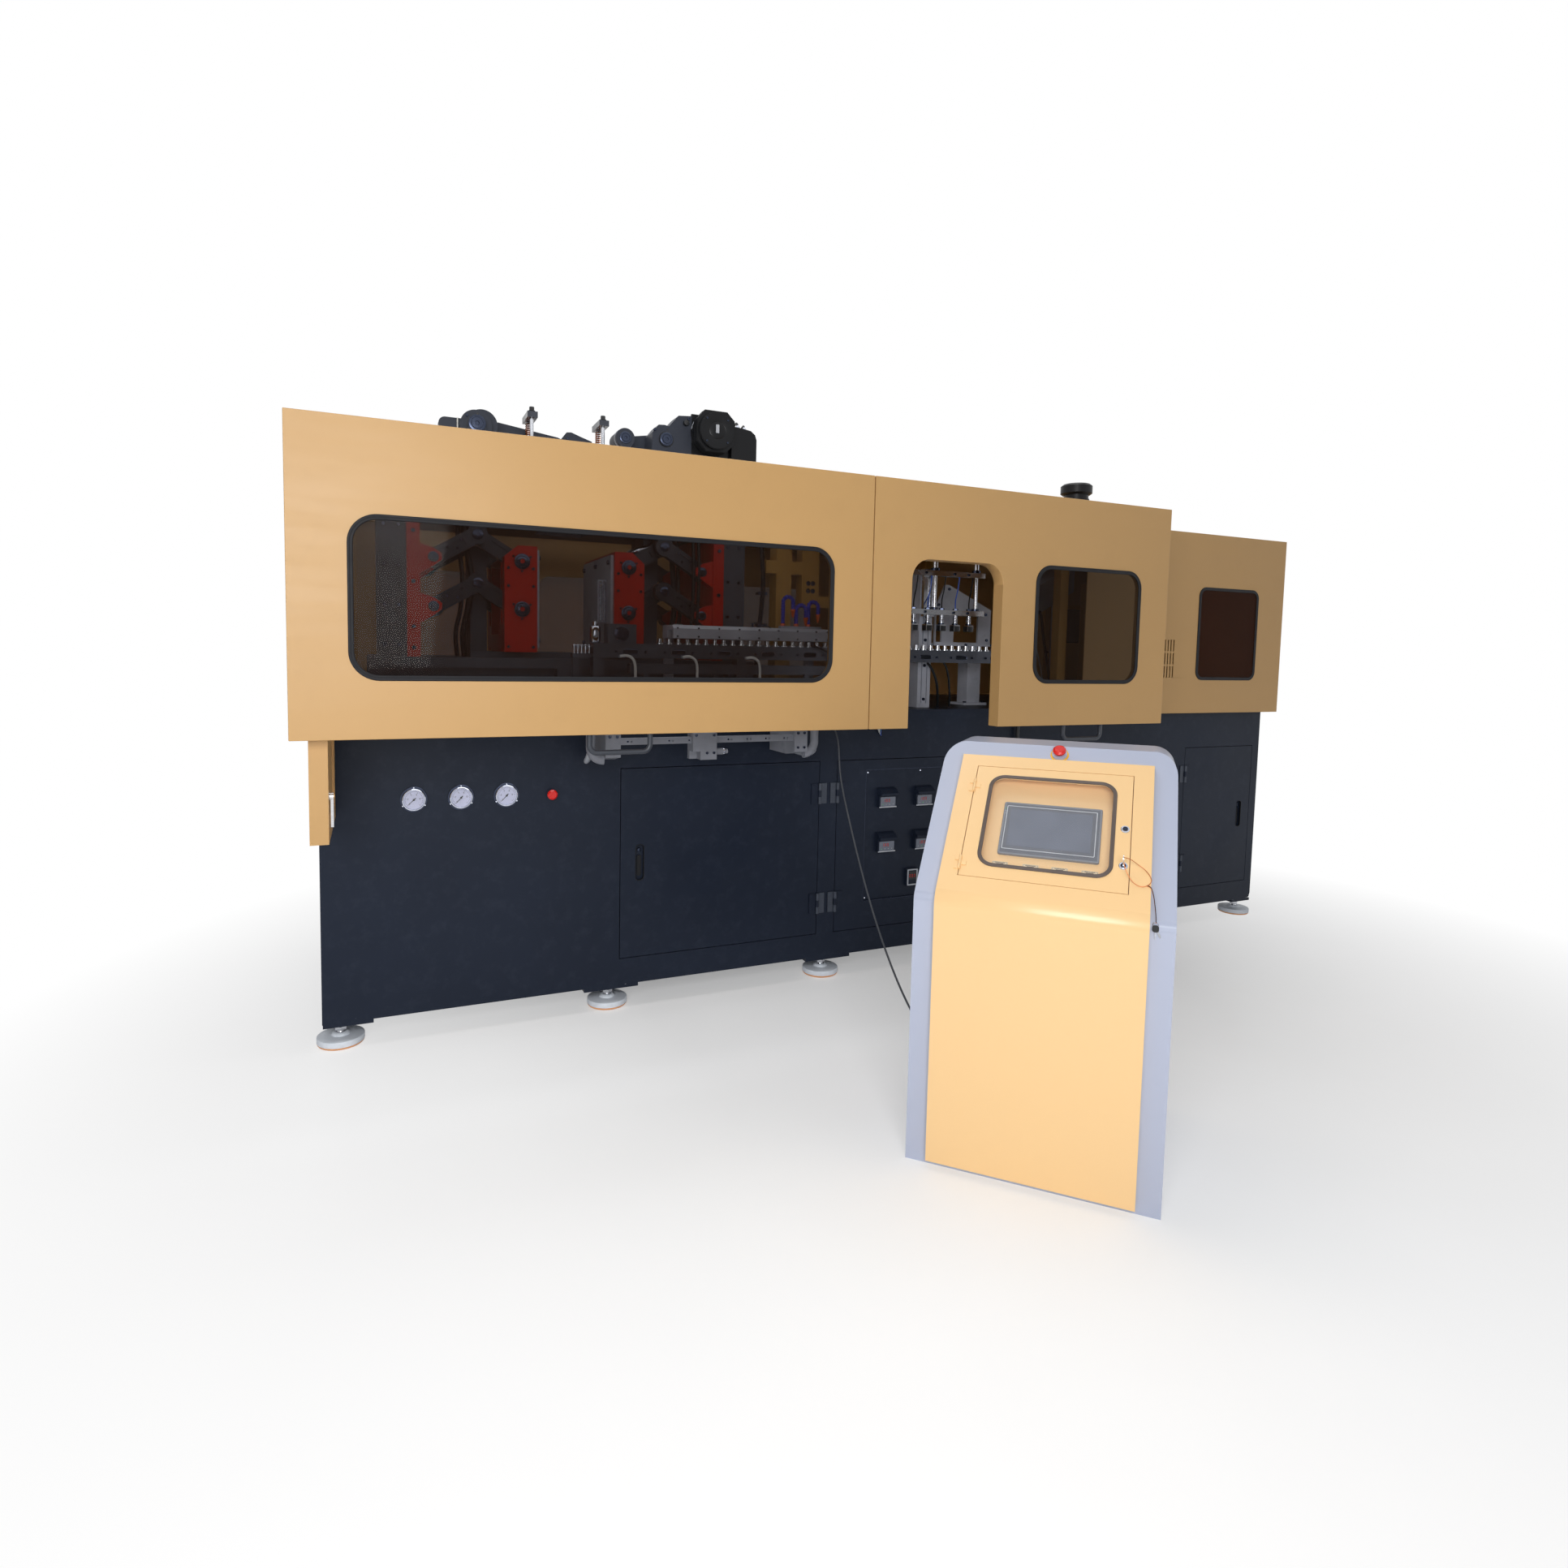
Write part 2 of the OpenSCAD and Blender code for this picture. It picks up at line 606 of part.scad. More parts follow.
module link_in_lower_right() place() color("#3a3f48") half(-1) link_in(lower_z);
module link_out_upper_right() place() color("#4a4f58") half(-1) link_out(pin_z, 0);
module link_out_lower_right() place() color("#3a3f48") half(-1) link_out(lower_z, 0.4);
tail_x1 = ax0 - 48;
module tailstock() {
  block([tail_x1 - 47, clamp_y0, bed_top], [tail_x1, clamp_y1, clamp_top_z]);
  // Clevis cheeks that carry the fixed pins on both sides of the inner links
  for (z = [pin_z, lower_z]) {
    for (y = [link_y - link_t - 23, link_y - 3, slide_y + link_t - 13, slide_y + 2 * link_t + 7])
      wall(y, y + 16) polygon([[tail_x1 - 1, z - 66], [ax0, z - 34], [ax0 + 30, z - 10],
        [ax0 + 30, z + 14], [ax0, z + 34], [tail_x1 - 1, z + 50]]);
    for (y = [link_y - link_t - 23, slide_y + link_t - 13])
      rod_y(pin_r, ax0, y, y + 2 * 16 + link_t + 4, z);
  }
}
module tailstock_left() place() color("#5a1712") half(1) tailstock();
module tailstock_right() place() color("#8f1a10") half(-1) tailstock();
module clamp_bed() place() color("#2b2e35") {
  difference() {
    block([200, 760, deck_z], [2 * clamp_x - 200, 1360, bed_top]);
    for (x = [260, 1000]) block([x, 759, deck_z + 50], [x + 640, 820, bed_top - 40]);
  }
  for (y = [840, 1240]) block([px0 - 190, y, bed_top], [2 * clamp_x - px0 + 190, y + 40, bed_top + rail_h]);
  // End columns of the clamp frame and the crosshead guides between the links
  for (s = [1, -1]) half(s) {
    block([tail_x1 - 153, 800, bed_top], [tail_x1 - 47, 1320, clamp_top_z]);
    block([kx0 - 15, 960, bed_top + rail_h], [kx0 + 50, 1160, clamp_top_z]);
    block([kx0 - 15, 960, bed_top], [kx0 + 50, 1160, bed_top + rail_h]);
  }
}
hub_x = 607;
hub_z = 2327;
gear_x = 1398;
gear_z = 2363;
top_y = 930;
module clamp_top() place() color("#3a3f4a") {
  difference() {
    block([tail_x1 - 153, clamp_y0, clamp_top_z], [2 * clamp_x - tail_x1 + 153, clamp_y1, clamp_top_z + 40]);
    block([880, clamp_y0 + 120, clamp_top_z - 1], [1090, clamp_y1 - 120, clamp_top_z + 41]);
  }
  // Bearing pedestal of the rocker
  for (y = [top_y - 42, top_y + 204])
    wall(y, y + 30) difference() {
      polygon([[hub_x - 110, clamp_top_z + 40], [hub_x + 110, clamp_top_z + 40],
        [hub_x + 45, hub_z - 78], [hub_x + 30, hub_z + 10],
        [hub_x - 30, hub_z + 10], [hub_x - 45, hub_z - 78]]);
      translate([hub_x, hub_z]) circle(5);
    }
  rod_y(21.94, hub_x, top_y - 46, top_y + 238, hub_z);
  // Gear unit stand
  block([gear_x - 60, top_y + 12, clamp_top_z + 40], [gear_x + 300, top_y + 40, gear_z - 90]);
  block([gear_x - 60, top_y + 40, gear_z - 110], [gear_x + 300, top_y + 150, gear_z - 90]);
}
module gearbox() place() color("#3d4450") {
  // Cast housing with a stepped shoulder up to the motor side
  difference() {
    wall(top_y, top_y + 110) polygon([[gear_x - 64, gear_z - 90], [gear_x - 62, gear_z + 24],
      [gear_x - 34, gear_z + 60], [gear_x - 6, gear_z + 62], [gear_x + 12, gear_z + 58],
      [gear_x + 56, gear_z + 109], [gear_x + 116, gear_z + 114], [gear_x + 116, gear_z - 90]]);
    rod_y(34, gear_x, top_y - 1, top_y + 4, gear_z);
    rod_y(12, gear_x + 88, top_y - 1, top_y + 6, gear_z + 80);
  }
  rod_y(30, gear_x, top_y - 8, top_y + 4, gear_z);
  rod_y(18, gear_x, top_y + 110, top_y + 166, gear_z);
}
// The crank sits on the output shaft behind the housing and ends in a roller
module drive_crank() place() color("#4a505c") {
  difference() {
    union() {
      wall(top_y + 124.5, top_y + 160) polygon([[gear_x - 170, gear_z - 30], [gear_x, gear_z - 46],
        [gear_x, gear_z + 46], [gear_x - 170, gear_z + 18]]);
      rod_y(46, gear_x, top_y + 124.5, top_y + 160, gear_z);
    }
    rod_y(18.06, gear_x, top_y + 120, top_y + 170, gear_z);
  }
  rod_y(41, gear_x - 170, top_y + 40, top_y + 160, gear_z - 3);
}
module rocker_arm() place() color("#434954") {
  difference() {
    union() {
      rod_y(61, hub_x, top_y - 8, top_y + 22, hub_z);
      rod_y(60, hub_x + 27, top_y + 26, top_y + 56, hub_z + 14);
      rod_y(34, hub_x, top_y + 22, top_y + 202, hub_z);
      block([hub_x - 114, top_y + 20, hub_z - 24], [hub_x, top_y + 60, hub_z + 27]);
      rod_y(25.5, hub_x - 114, top_y + 20, top_y + 60, hub_z + 1.5);
      // Long arm that slopes down to the right
      wall(top_y + 178, top_y + 202) polygon([[hub_x - 20, hub_z - 34], [hub_x + 560, hub_z - 78],
        [hub_x + 560, hub_z - 40], [hub_x + 356, hub_z + 32], [hub_x + 107, hub_z + 66],
        [hub_x + 10, hub_z + 34]]);
      wall(top_y + 150, top_y + 180) polygon([[hub_x + 330, hub_z - 60], [hub_x + 366, hub_z + 20],
        [hub_x + 390, hub_z + 52], [hub_x + 410, hub_z + 54], [hub_x + 450, hub_z + 40],
        [hub_x + 500, hub_z + 24], [hub_x + 500, hub_z - 74]]);
    }
    rod_y(22, hub_x, top_y - 9, top_y + 203, hub_z);
  }
}
module servo_motor() place() color("#101114") {
  mx = gear_x + 205;
  mz = gear_z + 44;
  rod_y(80, mx, top_y - 86, top_y - 72, mz);
  wall(top_y - 72, top_y - 16) polygon([for (q = [[-84, -46], [-84, 46], [-50, 86], [52, 86], [86, 52],
    [86, -46], [46, -86], [-46, -86]]) [mx + q[0], mz + q[1]]]);
  rod_y(93, mx, top_y - 16, top_y, mz);
  block([gear_x + 116, top_y, gear_z - 90], [mx + 84, top_y + 14, mz + 80]);
  // Brake and terminal box on the right
  wall(top_y - 20, top_y + 98) polygon([[mx + 94, gear_z - 90], [mx + 94, mz + 44], [mx + 130, mz + 42],
    [mx + 186, mz + 34], [mx + 207, mz + 18], [mx + 215, mz - 4], [mx + 215, gear_z - 90]]);
  block([mx + 60, top_y + 14, gear_z - 90], [mx + 94, top_y + 60, mz + 60]);
}
// Spring-loaded guide posts with their cross bars
post_xs = [836, 1136];
post_y = 999;
module guide_posts() place() color("#8d929b") for (x = post_xs) {
  block([x - 21, post_y - 24, 2400], [x + 21, post_y + 118, 2424]);
  rod_z(7.5, x, post_y, clamp_top_z + 40, 2400);
  rod_z(6, x, post_y + 92, clamp_top_z + 40, 2400);
  rod_z(10, x, post_y, 2424, 2446);
  rod_z(6, x, post_y + 92, 2424, 2436);
}
// One coil as a closed tube along a helix
function helix(r, p, n, m) = [for (i = [0 : n * m]) [r * cos(360 * i / m), r * sin(360 * i / m), p * i / m]];
module coil(r, w, p, n) {
  m = 8;
  k = 5;
  c = helix(r, p, n, m);
  q = len(c);
  polyhedron([for (i = [0 : q - 1], j = [0 : k - 1])
      c[i] + w * [cos(360 * i / m) * cos(360 * j / k), sin(360 * i / m) * cos(360 * j / k), sin(360 * j / k)]],
    concat([for (i = [0 : q - 2], j = [0 : k - 1]) [i * k + j, i * k + (j + 1) % k,
      (i + 1) * k + (j + 1) % k, (i + 1) * k + j]],
      [[for (j = [0 : k - 1]) k - 1 - j]], [[for (j = [0 : k - 1]) (q - 1) * k + j]]));
}
module guide_springs() place() color("#b9794a") for (x = post_xs)
  translate([x, post_y + 92, 2400 - 122.5]) coil(11, 2.2, 8.6, 14);

// Preform line
oven_x = 1332;
module oven_box() place() color("#a9abb3") {
  slab(oven_x, oven_x + oven_l) difference() {
    polygon([[590, conv_z + 26], [735, conv_z + 26], [735, conv_z + 26 + oven_h],
      [604, conv_z + 26 + oven_h], [590, conv_z + 12 + oven_h]]);
    polygon([[600, conv_z + 25], [670, conv_z + 25], [670, conv_z + 60], [600, conv_z + 60]]);
  }
  for (x = [oven_x + 10, oven_x + oven_l - 50])
    block([x, 735, deck_z], [x + 40, 755, conv_z + 26 + oven_h]);
}
module conveyor_beam() place() color("#6d7079") {
  difference() {
    block([1010, conv_y, conv_z - 57], [3180, conv_y + 76, conv_z]);
    block([1009, conv_y + 4, conv_z - 58], [3181, conv_y + 72, conv_z - 5]);
    for (i = [0 : 9])
      wall(conv_y - 1, conv_y + 5) rrect(1130 + i * 200, conv_z - 42, 60, 18, 8);
  }
  // Lower tie channel and legs down to the deck
  block([1160, conv_y + 10, 1352], [2350, conv_y + 50, 1392]);
  for (x = [1012, 1620, 2300, 3100])
    block([x, conv_y + 10, deck_z], [x + 42, conv_y + 66, x > 1100 && x < 2350 ? 1352 : conv_z - 57 + 52]);
  for (x = [1620, 2300])
    block([x, conv_y + 10, 1392], [x + 42, conv_y + 66, conv_z - 5]);
  // Gland box of the console cable
  block([3040, conv_y - 34, conv_z - 50], [3100, conv_y, conv_z - 8]);
}
module mandrels() place() color("#b9bcc4") for (i = [0 : floor(1840 / mandrel_pitch)])
  translate([1290 + i * mandrel_pitch, conv_y + 38, conv_z]) {
    cylinder(r = 15, h = 6, $fn = 20);
    cylinder(r = 9, h = 23, $fn = 20);
  }
module transfer_frame() place() color("#b4b7c0") {
  // Guide column with its T slots
  difference() {
    block([col_x, col_y, deck_z], [col_x + col_w, col_y + 70, 1832]);
    for (x = [18, 47]) block([col_x + x, col_y - 1, deck_z + 20], [col_x + x + 6, col_y + 8, 1833]);
  }
  // Gusset plate with its triangular head
  wall(860, 872) difference() {
    polygon([[2782, 1510], [3124, 1510], [3124, 1684], [2862, 1801], [2838, 1801], [2782, 1684]]);
    translate([2896, 1516]) square([150, 132]);
    translate([2790, 1516]) square([34, 132]);
  }
  block([2760, 830, 1498], [3135, 930, 1510]);
  block([2975, 840, deck_z + 12], [3055, 920, 1498]);
  block([2945, 820, deck_z], [3085, 940, deck_z + 12]);
}
module pick_head() place() color("#7d818b") {
  x1 = pick_x0 + (pick_n - 1) * pick_pitch + 74;
  block([pick_x0 - 40, pick_y, 1818], [x1, pick_y + 40, 1842]);
  block([pick_x0 - 40, pick_y, 1638], [x1, pick_y + 40, 1662]);
  for (x = [2624, 2858]) rod_z(9, x, pick_y + 20, 1662, 1818);
  for (x = [2624, 2858]) rod_z(12, x, pick_y + 20, 1842, 1892);
  block([col_x + 4, pick_y + 40, 1630], [col_x + col_w - 4, col_y - 0.4, 1850]);
  for (i = [0 : pick_n - 1]) {
    x = pick_x0 + i * pick_pitch;
    rod_z(7, x, pick_y + 20, 1592, 1638);
    block([x - 17, pick_y + 3, 1564], [x + 17, pick_y + 37, 1594]);
    rod_z(9, x, pick_y + 20, 1662, 1670);
  }
}
module hose_loop(x, h) translate([x, 690, conv_z + 26 + oven_h + 12]) {
  cylinder(r = 10, h = h);
  translate([24, 0, h]) rotate([90, 0, 0]) rotate_extrude(angle = 180) translate([24, 0]) circle(10);
  translate([48, 0, h - 30]) cylinder(r = 10, h = 30);
  translate([48, 0, h - 66]) cylinder(r1 = 4, r2 = 11, h = 36);
}
module coolant_hoses() place() color("#2436a8") {
  block([1850, 676, conv_z + 26 + oven_h], [2050, 704, conv_z + 38 + oven_h]);
  hose_loop(1866, 104);
  hose_loop(1930, 70);
  hose_loop(1990, 86);
}
module feeder_motor() place() color("#1c1e22") {
  z = beam_top + 12;
  rod_z(49.5, 3320, 500, z - 12, z);
  block([3256, 436, z], [3384, 564, z + 12]);
  rod_z(56, 3320, 500, z + 12, z + 138);
  for (i = [0 : 4]) rod_z(60, 3320, 500, z + 56 + i * 14, z + 63 + i * 14);
  translate([3320, 500, z + 138]) cylinder(r1 = 62, r2 = 73, h = 8);
  rod_z(73, 3320, 500, z + 146, z + 180);
  translate([3320, 500, z + 180]) cylinder(r1 = 73, r2 = 62, h = 9);
}
// Rail under the left guard
module duct_elbow(x, s) translate([x, rail_y + 20, rail_z - 8]) mirror([s, 0, 0]) {
  rotate([90, 0, 0]) rotate([0, 0, 180]) rotate_extrude(angle = 90) translate([48, 0]) circle(17);
  translate([-48, 0, 0]) cylinder(r = 17, h = 62);
}
module front_rail() place() color("#a7abb5") {
  difference() {
    block([rail_x0, rail_y, rail_z], [rail_x1, rail_y + 24, rail_z + 24]);
    for (i = [0 : 8]) for (d = [0, 40])
      rod_y(4, rail_x0 + 30 + i * 80 + d / 3, rail_y - 1, rail_y + 6, rail_z + 12);
  }
  for (x = [rail_x0 - 56, rail_x1]) {
    difference() {
      slab(x, x + 56) polygon([[rail_y - 14, rail_z - 44], [rail_y + 70, rail_z - 60], [base_y, rail_z - 60],
        [base_y, rail_z + 44], [rail_y - 14, rail_z + 44]]);
      slab(x + 10, x + 57) polygon([[rail_y + 60, rail_z - 40], [base_y - 30, rail_z - 40],
        [base_y - 30, rail_z + 30], [rail_y + 60, rail_z + 30]]);
    }
  }
  duct_elbow(rail_x0 - 56, 0);
  duct_elbow(rail_x1 + 56, 1);
}
car_x = 1328;
module rail_carriage() place() color("#a7abb5") {
  difference() {
    block([car_x, rail_y - 22, rail_z - 62], [car_x + 96, rail_y + 44, rail_z + 40]);
    block([car_x - 1, rail_y - run_gap, rail_z - run_gap],
      [car_x + 97, rail_y + 24 + run_gap, rail_z + 24 + run_gap]);
    block([car_x - 1, rail_y - 23, rail_z - 63], [car_x + 30, rail_y + 20, rail_z - 30]);
  }
  rod_x(13, car_x + 96, car_x + 130, rail_y + 6, rail_z - 34);
  rod_x(9, car_x + 130, car_x + 150, rail_y + 6, rail_z - 34);
}

// Console
module console() place() translate([con_x, con_y, 0]) rotate([0, 0, con_a]) children();
// Frame on the slope: X across, Y up the slope, Z out of it
module slope() translate([0, 0, con_knee]) rotate([slope_a, 0, 0]) children();
knee_r = 35;
knee_t = knee_r * tan((90 - slope_a) / 2);
// Side outline with a round knee, g outside the body
module con_side(g, z0, s1, back) {
  k = knee_t;
  c = [knee_r, con_knee - k];
  n = [-sin(slope_a), cos(slope_a)];
  d = [cos(slope_a), sin(slope_a)];
  p = [0, con_knee];
  top = p + s1 * d;
  difference() {
    polygon([[-g, z0], [-g, con_knee - k], [-g, con_knee] + [0, g * tan((90 - slope_a) / 2)],
      p + k * d + g * n, top + g * n, top + [back, 0], [top[0] + back, z0]]);
    difference() {
      polygon([[-g - 1, con_knee - k], [-g - 1, con_knee + 2 * k], p + k * d + (g + 8) * n,
        p + k * d + g * n, c]);
      translate(c) circle(knee_r + g, $fn = 96);
    }
  }
}
module console_body() console() color("#a9adbd") {
  difference() {
    intersection() {
      slab(-con_w / 2, con_w / 2) con_side(0, 0, slope_l, con_d - con_lean);
      wall(-1, con_d + 1) rrect(-con_w / 2, -80, con_w, con_h + 80, 62);
    }
    slope() translate([sd_x0 - 2, sd_s0 - 2, pan_t - recess]) cube([sdoor_w + 4, sdoor_l + 4, recess]);
    slope() translate([8, 550, -8]) cylinder(r = 9.5, h = 10);
    // Seat of the back panel
    translate([-con_w / 2 + 40, con_d - 4, 60]) cube([con_w - 80, 5, con_h - 180]);
  }
  // Back panel, cable gland and stop button collar
  translate([-con_w / 2 + 42, con_d - 4, 62]) cube([con_w - 84, 3, con_h - 184]);
  rod_y(16, 60, con_d - 1, con_d + 22, 150);
  rod_y(9, -60, con_d - 1, con_d + 16, 150);
  slope() translate([8, 550, 0]) difference() {
    cylinder(r = 22, h = 8);
    translate([0, 0, -0.5]) cylinder(r = 9.5, h = 9);
  }
  slope() for (x = [-120, -37, 42]) translate([x, 118, pan_t - recess]) difference() {
    cylinder(r = 12, h = 7);
    translate([0, 0, 1]) cylinder(r = 8.4, h = 9);
  }
}
module console_panel() console() color("#e7bf85") {
  panel_skin();
  panel_knuckles();
}
module panel_skin() difference() {
  slab(-pan_w / 2, pan_w / 2) difference() {
    con_side(pan_t, 20, 510, 60);
    con_side(0, -10, slope_l, con_d);
  }
  slope() translate([sd_x0 - 2, sd_s0 - 2, -1]) cube([sdoor_w + 4, sdoor_l + 4, pan_t + 5]);
}
// Fixed halves of the small hinges of the screen door
module panel_knuckles() slope() for (s = [100, 380]) {
  translate([sd_x0 - 1, s - 15, pan_t + 4.4]) rotate([-90, 0, 0]) cylinder(r = 2, h = 44);
  for (d = [-15, 14.5]) {
    translate([sd_x0 - 1, s + d, pan_t + 4.4]) rotate([-90, 0, 0]) cylinder(r = 4, h = 14.5);
    translate([sd_x0 - 16, s + d, pan_t]) cube([15, 14.5, 3]);
  }
}
lock_ss = [273, 152];
module screen_door() console() slope() color("#e7bf85") {
  difference() {
    union() {
      translate([sd_x0, sd_s0, pan_t - 8]) cube([sdoor_w, sdoor_l, 8]);
      for (s = lock_ss) translate([205, s, pan_t - 8]) cylinder(r = 11, h = 11);
    }
    translate([0, 0, pan_t - 9]) linear_extrude(12) rrect(-180, 105, 360, 330, 46, 8);
    for (s = lock_ss) translate([205, s, pan_t - 9]) cylinder(r = 7.3, h = 20);
  }
  for (s = [100, 380]) difference() {
    union() {
      translate([sd_x0 - 1, s, pan_t + 4.4]) rotate([-90, 0, 0]) cylinder(r = 4, h = 14);
      translate([sd_x0 - 1, s, pan_t]) cube([18, 14, 3]);
    }
    translate([sd_x0 - 1, s - 1, pan_t + 4.4]) rotate([-90, 0, 0]) cylinder(r = 2.06, h = 20);
  }
}
module screen_window() console() slope() color("#2a2a2e") {
  translate([0, 0, pan_t - 6]) linear_extrude(6) rrect(-180, 105, 360, 330, 46, 8.3);
  translate([0, 0, pan_t]) linear_extrude(3) difference() {
    rrect(-180, 105, 360, 330, 46, 0);
    rrect(-180, 105, 360, 330, 46, 11);
  }
}
module operator_screen() console() slope() color("#5f646c") translate([6 - hmi_w / 2, hmi_s0, pan_t - recess])
  difference() {
    cube([hmi_w, hmi_l, 9]);
    translate([16, 27, 8]) cube([hmi_w - 32, hmi_l - 58, 2]);
  }
module push_red() console() slope() color("#c01818")
  translate([-120, 118, pan_t - recess + 5.3]) cylinder(r = 8, h = 6.5);
module push_blue() console() slope() color("#2040b0")
  translate([-37, 118, pan_t - recess + 5.3]) cylinder(r = 8, h = 6.5);
module selector() console() slope() color("#1a1a1c") translate([42, 118, pan_t - recess + 1.3]) {
  cylinder(r = 8, h = 8);
  translate([-2.5, -10.5, 8]) cube([5, 21, 8]);
}
module console_stop_button() console() slope() color("#d01810") translate([8, 550, -1]) mushroom(19, 9, 15);
module lock_plug() {
  translate([205, 0, pan_t - 8]) cylinder(r = 7, h = 13);
  translate([204, -4, pan_t - 14]) cube([12, 8, 6]);
}
module lock_upper() console() slope() color("#c9ccd2") translate([0, lock_ss[0], 0]) lock_plug();
module lock_lower() console() slope() color("#c9ccd2") translate([0, lock_ss[1], 0]) {
  lock_plug();
  translate([204, -5, pan_t + 5]) cube([2, 10, 24]);
  translate([205.8, 0, pan_t + 34]) rotate([0, -90, 0]) cylinder(r = 11, h = 1.6);
}

// Cables
// A round tube swept along its points, one ring at each point
function unit(v) = v / norm(v);
function ahead(p, i) = unit(p[min(i + 1, len(p) - 1)] - p[max(i - 1, 0)]);
module tube(p, r, k) {
  q = len(p);
  ring = [for (i = [0 : q - 1]) let (t = ahead(p, i),
    a = unit(cross(t, abs(t[2]) > 0.9 ? [0, 1, 0] : [0, 0, 1])), b = cross(t, a)) [for (j = [0 : k - 1]) p[i] + r * cos(360 * j / k) * a + r * sin(360 * j / k) * b]];
  polyhedron([for (i = [0 : q - 1], j = [0 : k - 1]) ring[i][j]],
    concat([for (i = [0 : q - 2], j = [0 : k - 1]) [i * k + j, i * k + (j + 1) % k,
      (i + 1) * k + (j + 1) % k, (i + 1) * k + j]],
      [[for (j = [0 : k - 1]) k - 1 - j]], [[for (j = [0 : k - 1]) (q - 1) * k + j]]));
}
// Points between the route's corners on a smooth curve
function curve(a, b, c, d, t) = 0.5 * (2 * b + (c - a) * t + (2 * a - 5 * b + 4 * c - d) * t * t
  + (3 * b - a - 3 * c + d) * t * t * t);
function smooth(p, m) = concat([for (i = [0 : len(p) - 2], j = [0 : m - 1])
  curve(p[max(i - 1, 0)], p[i], p[i + 1], p[min(i + 2, len(p) - 1)], j / m)], [p[len(p) - 1]]);
console_route = [[3070, 587, conv_z - 50.2], [3070, 587, 1390], [3070, 584, 1350],
  [3070, 577, 1300], [3069, 566, 1240], [3068, 556, 1190], [3067, 551, 1130], [3066, 550, 1040],
  [3064, 550, 780], [3062, 550, 500], [3060, 548, 280], [3056, 530, 130], [3044, 470, 42],
  [3024, 400, 14], [3000, 330, 9.8], [2950, 200, 9.4], [2840, 0, 9.4], [2730, -200, 9.4],
  [2670, -300, 9.6], [2622, -362, 13], [2572, -411, 32], [2522, -458, 68], [2474, -503, 108],
  [2436, -539, 135], [2406, -567.5, 147], [2380, -592.3, 150], [2356, -615, 150]];
thin_route = [[2030, 553.8, 1130], [2030, 540, 1130], [2030, 520, 1130], [2030, 494, 1122],
  [2031, 474, 1098], [2033, 460, 1054], [2037, 435, 905], [2044, 350, 715], [2052, 265, 548],
  [2060, 180, 402], [2068, 95, 280], [2075, 10, 179], [2081, -75, 101], [2087, -160, 45],
  [2094, -235, 13], [2112, -292, 5], [2160, -330, 4.8], [2230, -352, 5], [2310, -358, 8],
  [2374, -364, 26], [2406, -388, 64], [2398, -416, 102], [2366, -442, 134], [2328, -476, 149],
  [2299.2, -503.5, 150], [2284.4, -517.5, 150], [2269.6, -531.5, 150]];
module console_cable() place() color("#15161a") tube(smooth(console_route, 5), console_cable_r, 8);
module thin_cable() place() color("#3a3c42") tube(smooth(thin_route, 5), thin_cable_r, 8);

base_cabinet();
levelling_feet();
pressure_gauges();
base_stop_button();
base_door_1();
base_door_2();
base_door_3();
hinge_leaves();
cover_frame();
rear_covers();
right_housing();
fixed_windows();
guard_left();
window_left();
guard_right();
window_right();
end_door();
latch_lever();
clamp_bed();
tailstock_left();
tailstock_right();
clamp_top();
platen_left();
platen_right();
link_in_upper_left();
link_out_upper_left();
link_in_lower_left();
link_out_lower_left();
link_in_upper_right();
link_out_upper_right();
link_in_lower_right();
link_out_lower_right();
guide_posts();
guide_springs();
gearbox();
drive_crank();
rocker_arm();
servo_motor();
oven_box();
conveyor_beam();
mandrels();
transfer_frame();
pick_head();
coolant_hoses();
feeder_motor();
front_rail();
rail_carriage();
console_body();
console_panel();
screen_door();
screen_window();
operator_screen();
push_red();
push_blue();
selector();
console_stop_button();
lock_upper();
lock_lower();
console_cable();
thin_cable();
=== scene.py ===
import math
import bpy
import numpy as np
from mathutils import Matrix, Vector


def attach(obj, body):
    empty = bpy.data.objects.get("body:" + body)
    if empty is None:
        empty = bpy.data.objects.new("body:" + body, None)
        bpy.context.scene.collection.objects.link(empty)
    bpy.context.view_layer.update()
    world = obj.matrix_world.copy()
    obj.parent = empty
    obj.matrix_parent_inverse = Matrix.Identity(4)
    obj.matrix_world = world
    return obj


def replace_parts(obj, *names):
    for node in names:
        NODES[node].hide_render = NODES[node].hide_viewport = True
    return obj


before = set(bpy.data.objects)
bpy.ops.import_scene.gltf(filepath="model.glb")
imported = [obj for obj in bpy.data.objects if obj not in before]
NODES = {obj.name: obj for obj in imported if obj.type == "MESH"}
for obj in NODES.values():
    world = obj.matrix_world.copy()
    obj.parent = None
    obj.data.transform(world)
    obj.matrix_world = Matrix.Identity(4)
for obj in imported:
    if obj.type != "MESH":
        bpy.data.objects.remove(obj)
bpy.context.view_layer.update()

# Lengths below are drawing millimetres from the left front lower corner of the guards.
MM = 1000.0
CORNER = np.array([2425.0, 321.6025, 0.0])
CONSOLE_AT, CONSOLE_TURN = (1846.0, -1010.0), math.radians(-46.9)
KNEE_HEIGHT, SLOPE_RISE, SLOPE_RUN = 775.0, 403.0, 425.0
DECK, BASE_FRONT = 1204, 568
FRONT, UP, RIGHT = (0, -1, 0), (0, 0, 1), (1, 0, 0)

# Camera, from the straight edges of the photograph; its frame is square
FRAME, SENSOR, FOCAL, MIDDLE = 1932.0, 36.0, 1082.636, (943.59, 879.74)
CAMERA_AT, YAW, PITCH, ROLL = (226.2, -2822.0, 1455.0), 24.0428, 4.12799, -1.16085


def metres(p):
    """Takes the corner off each point and divides by 1000."""
    return (np.asarray(p, float) - CORNER) / MM


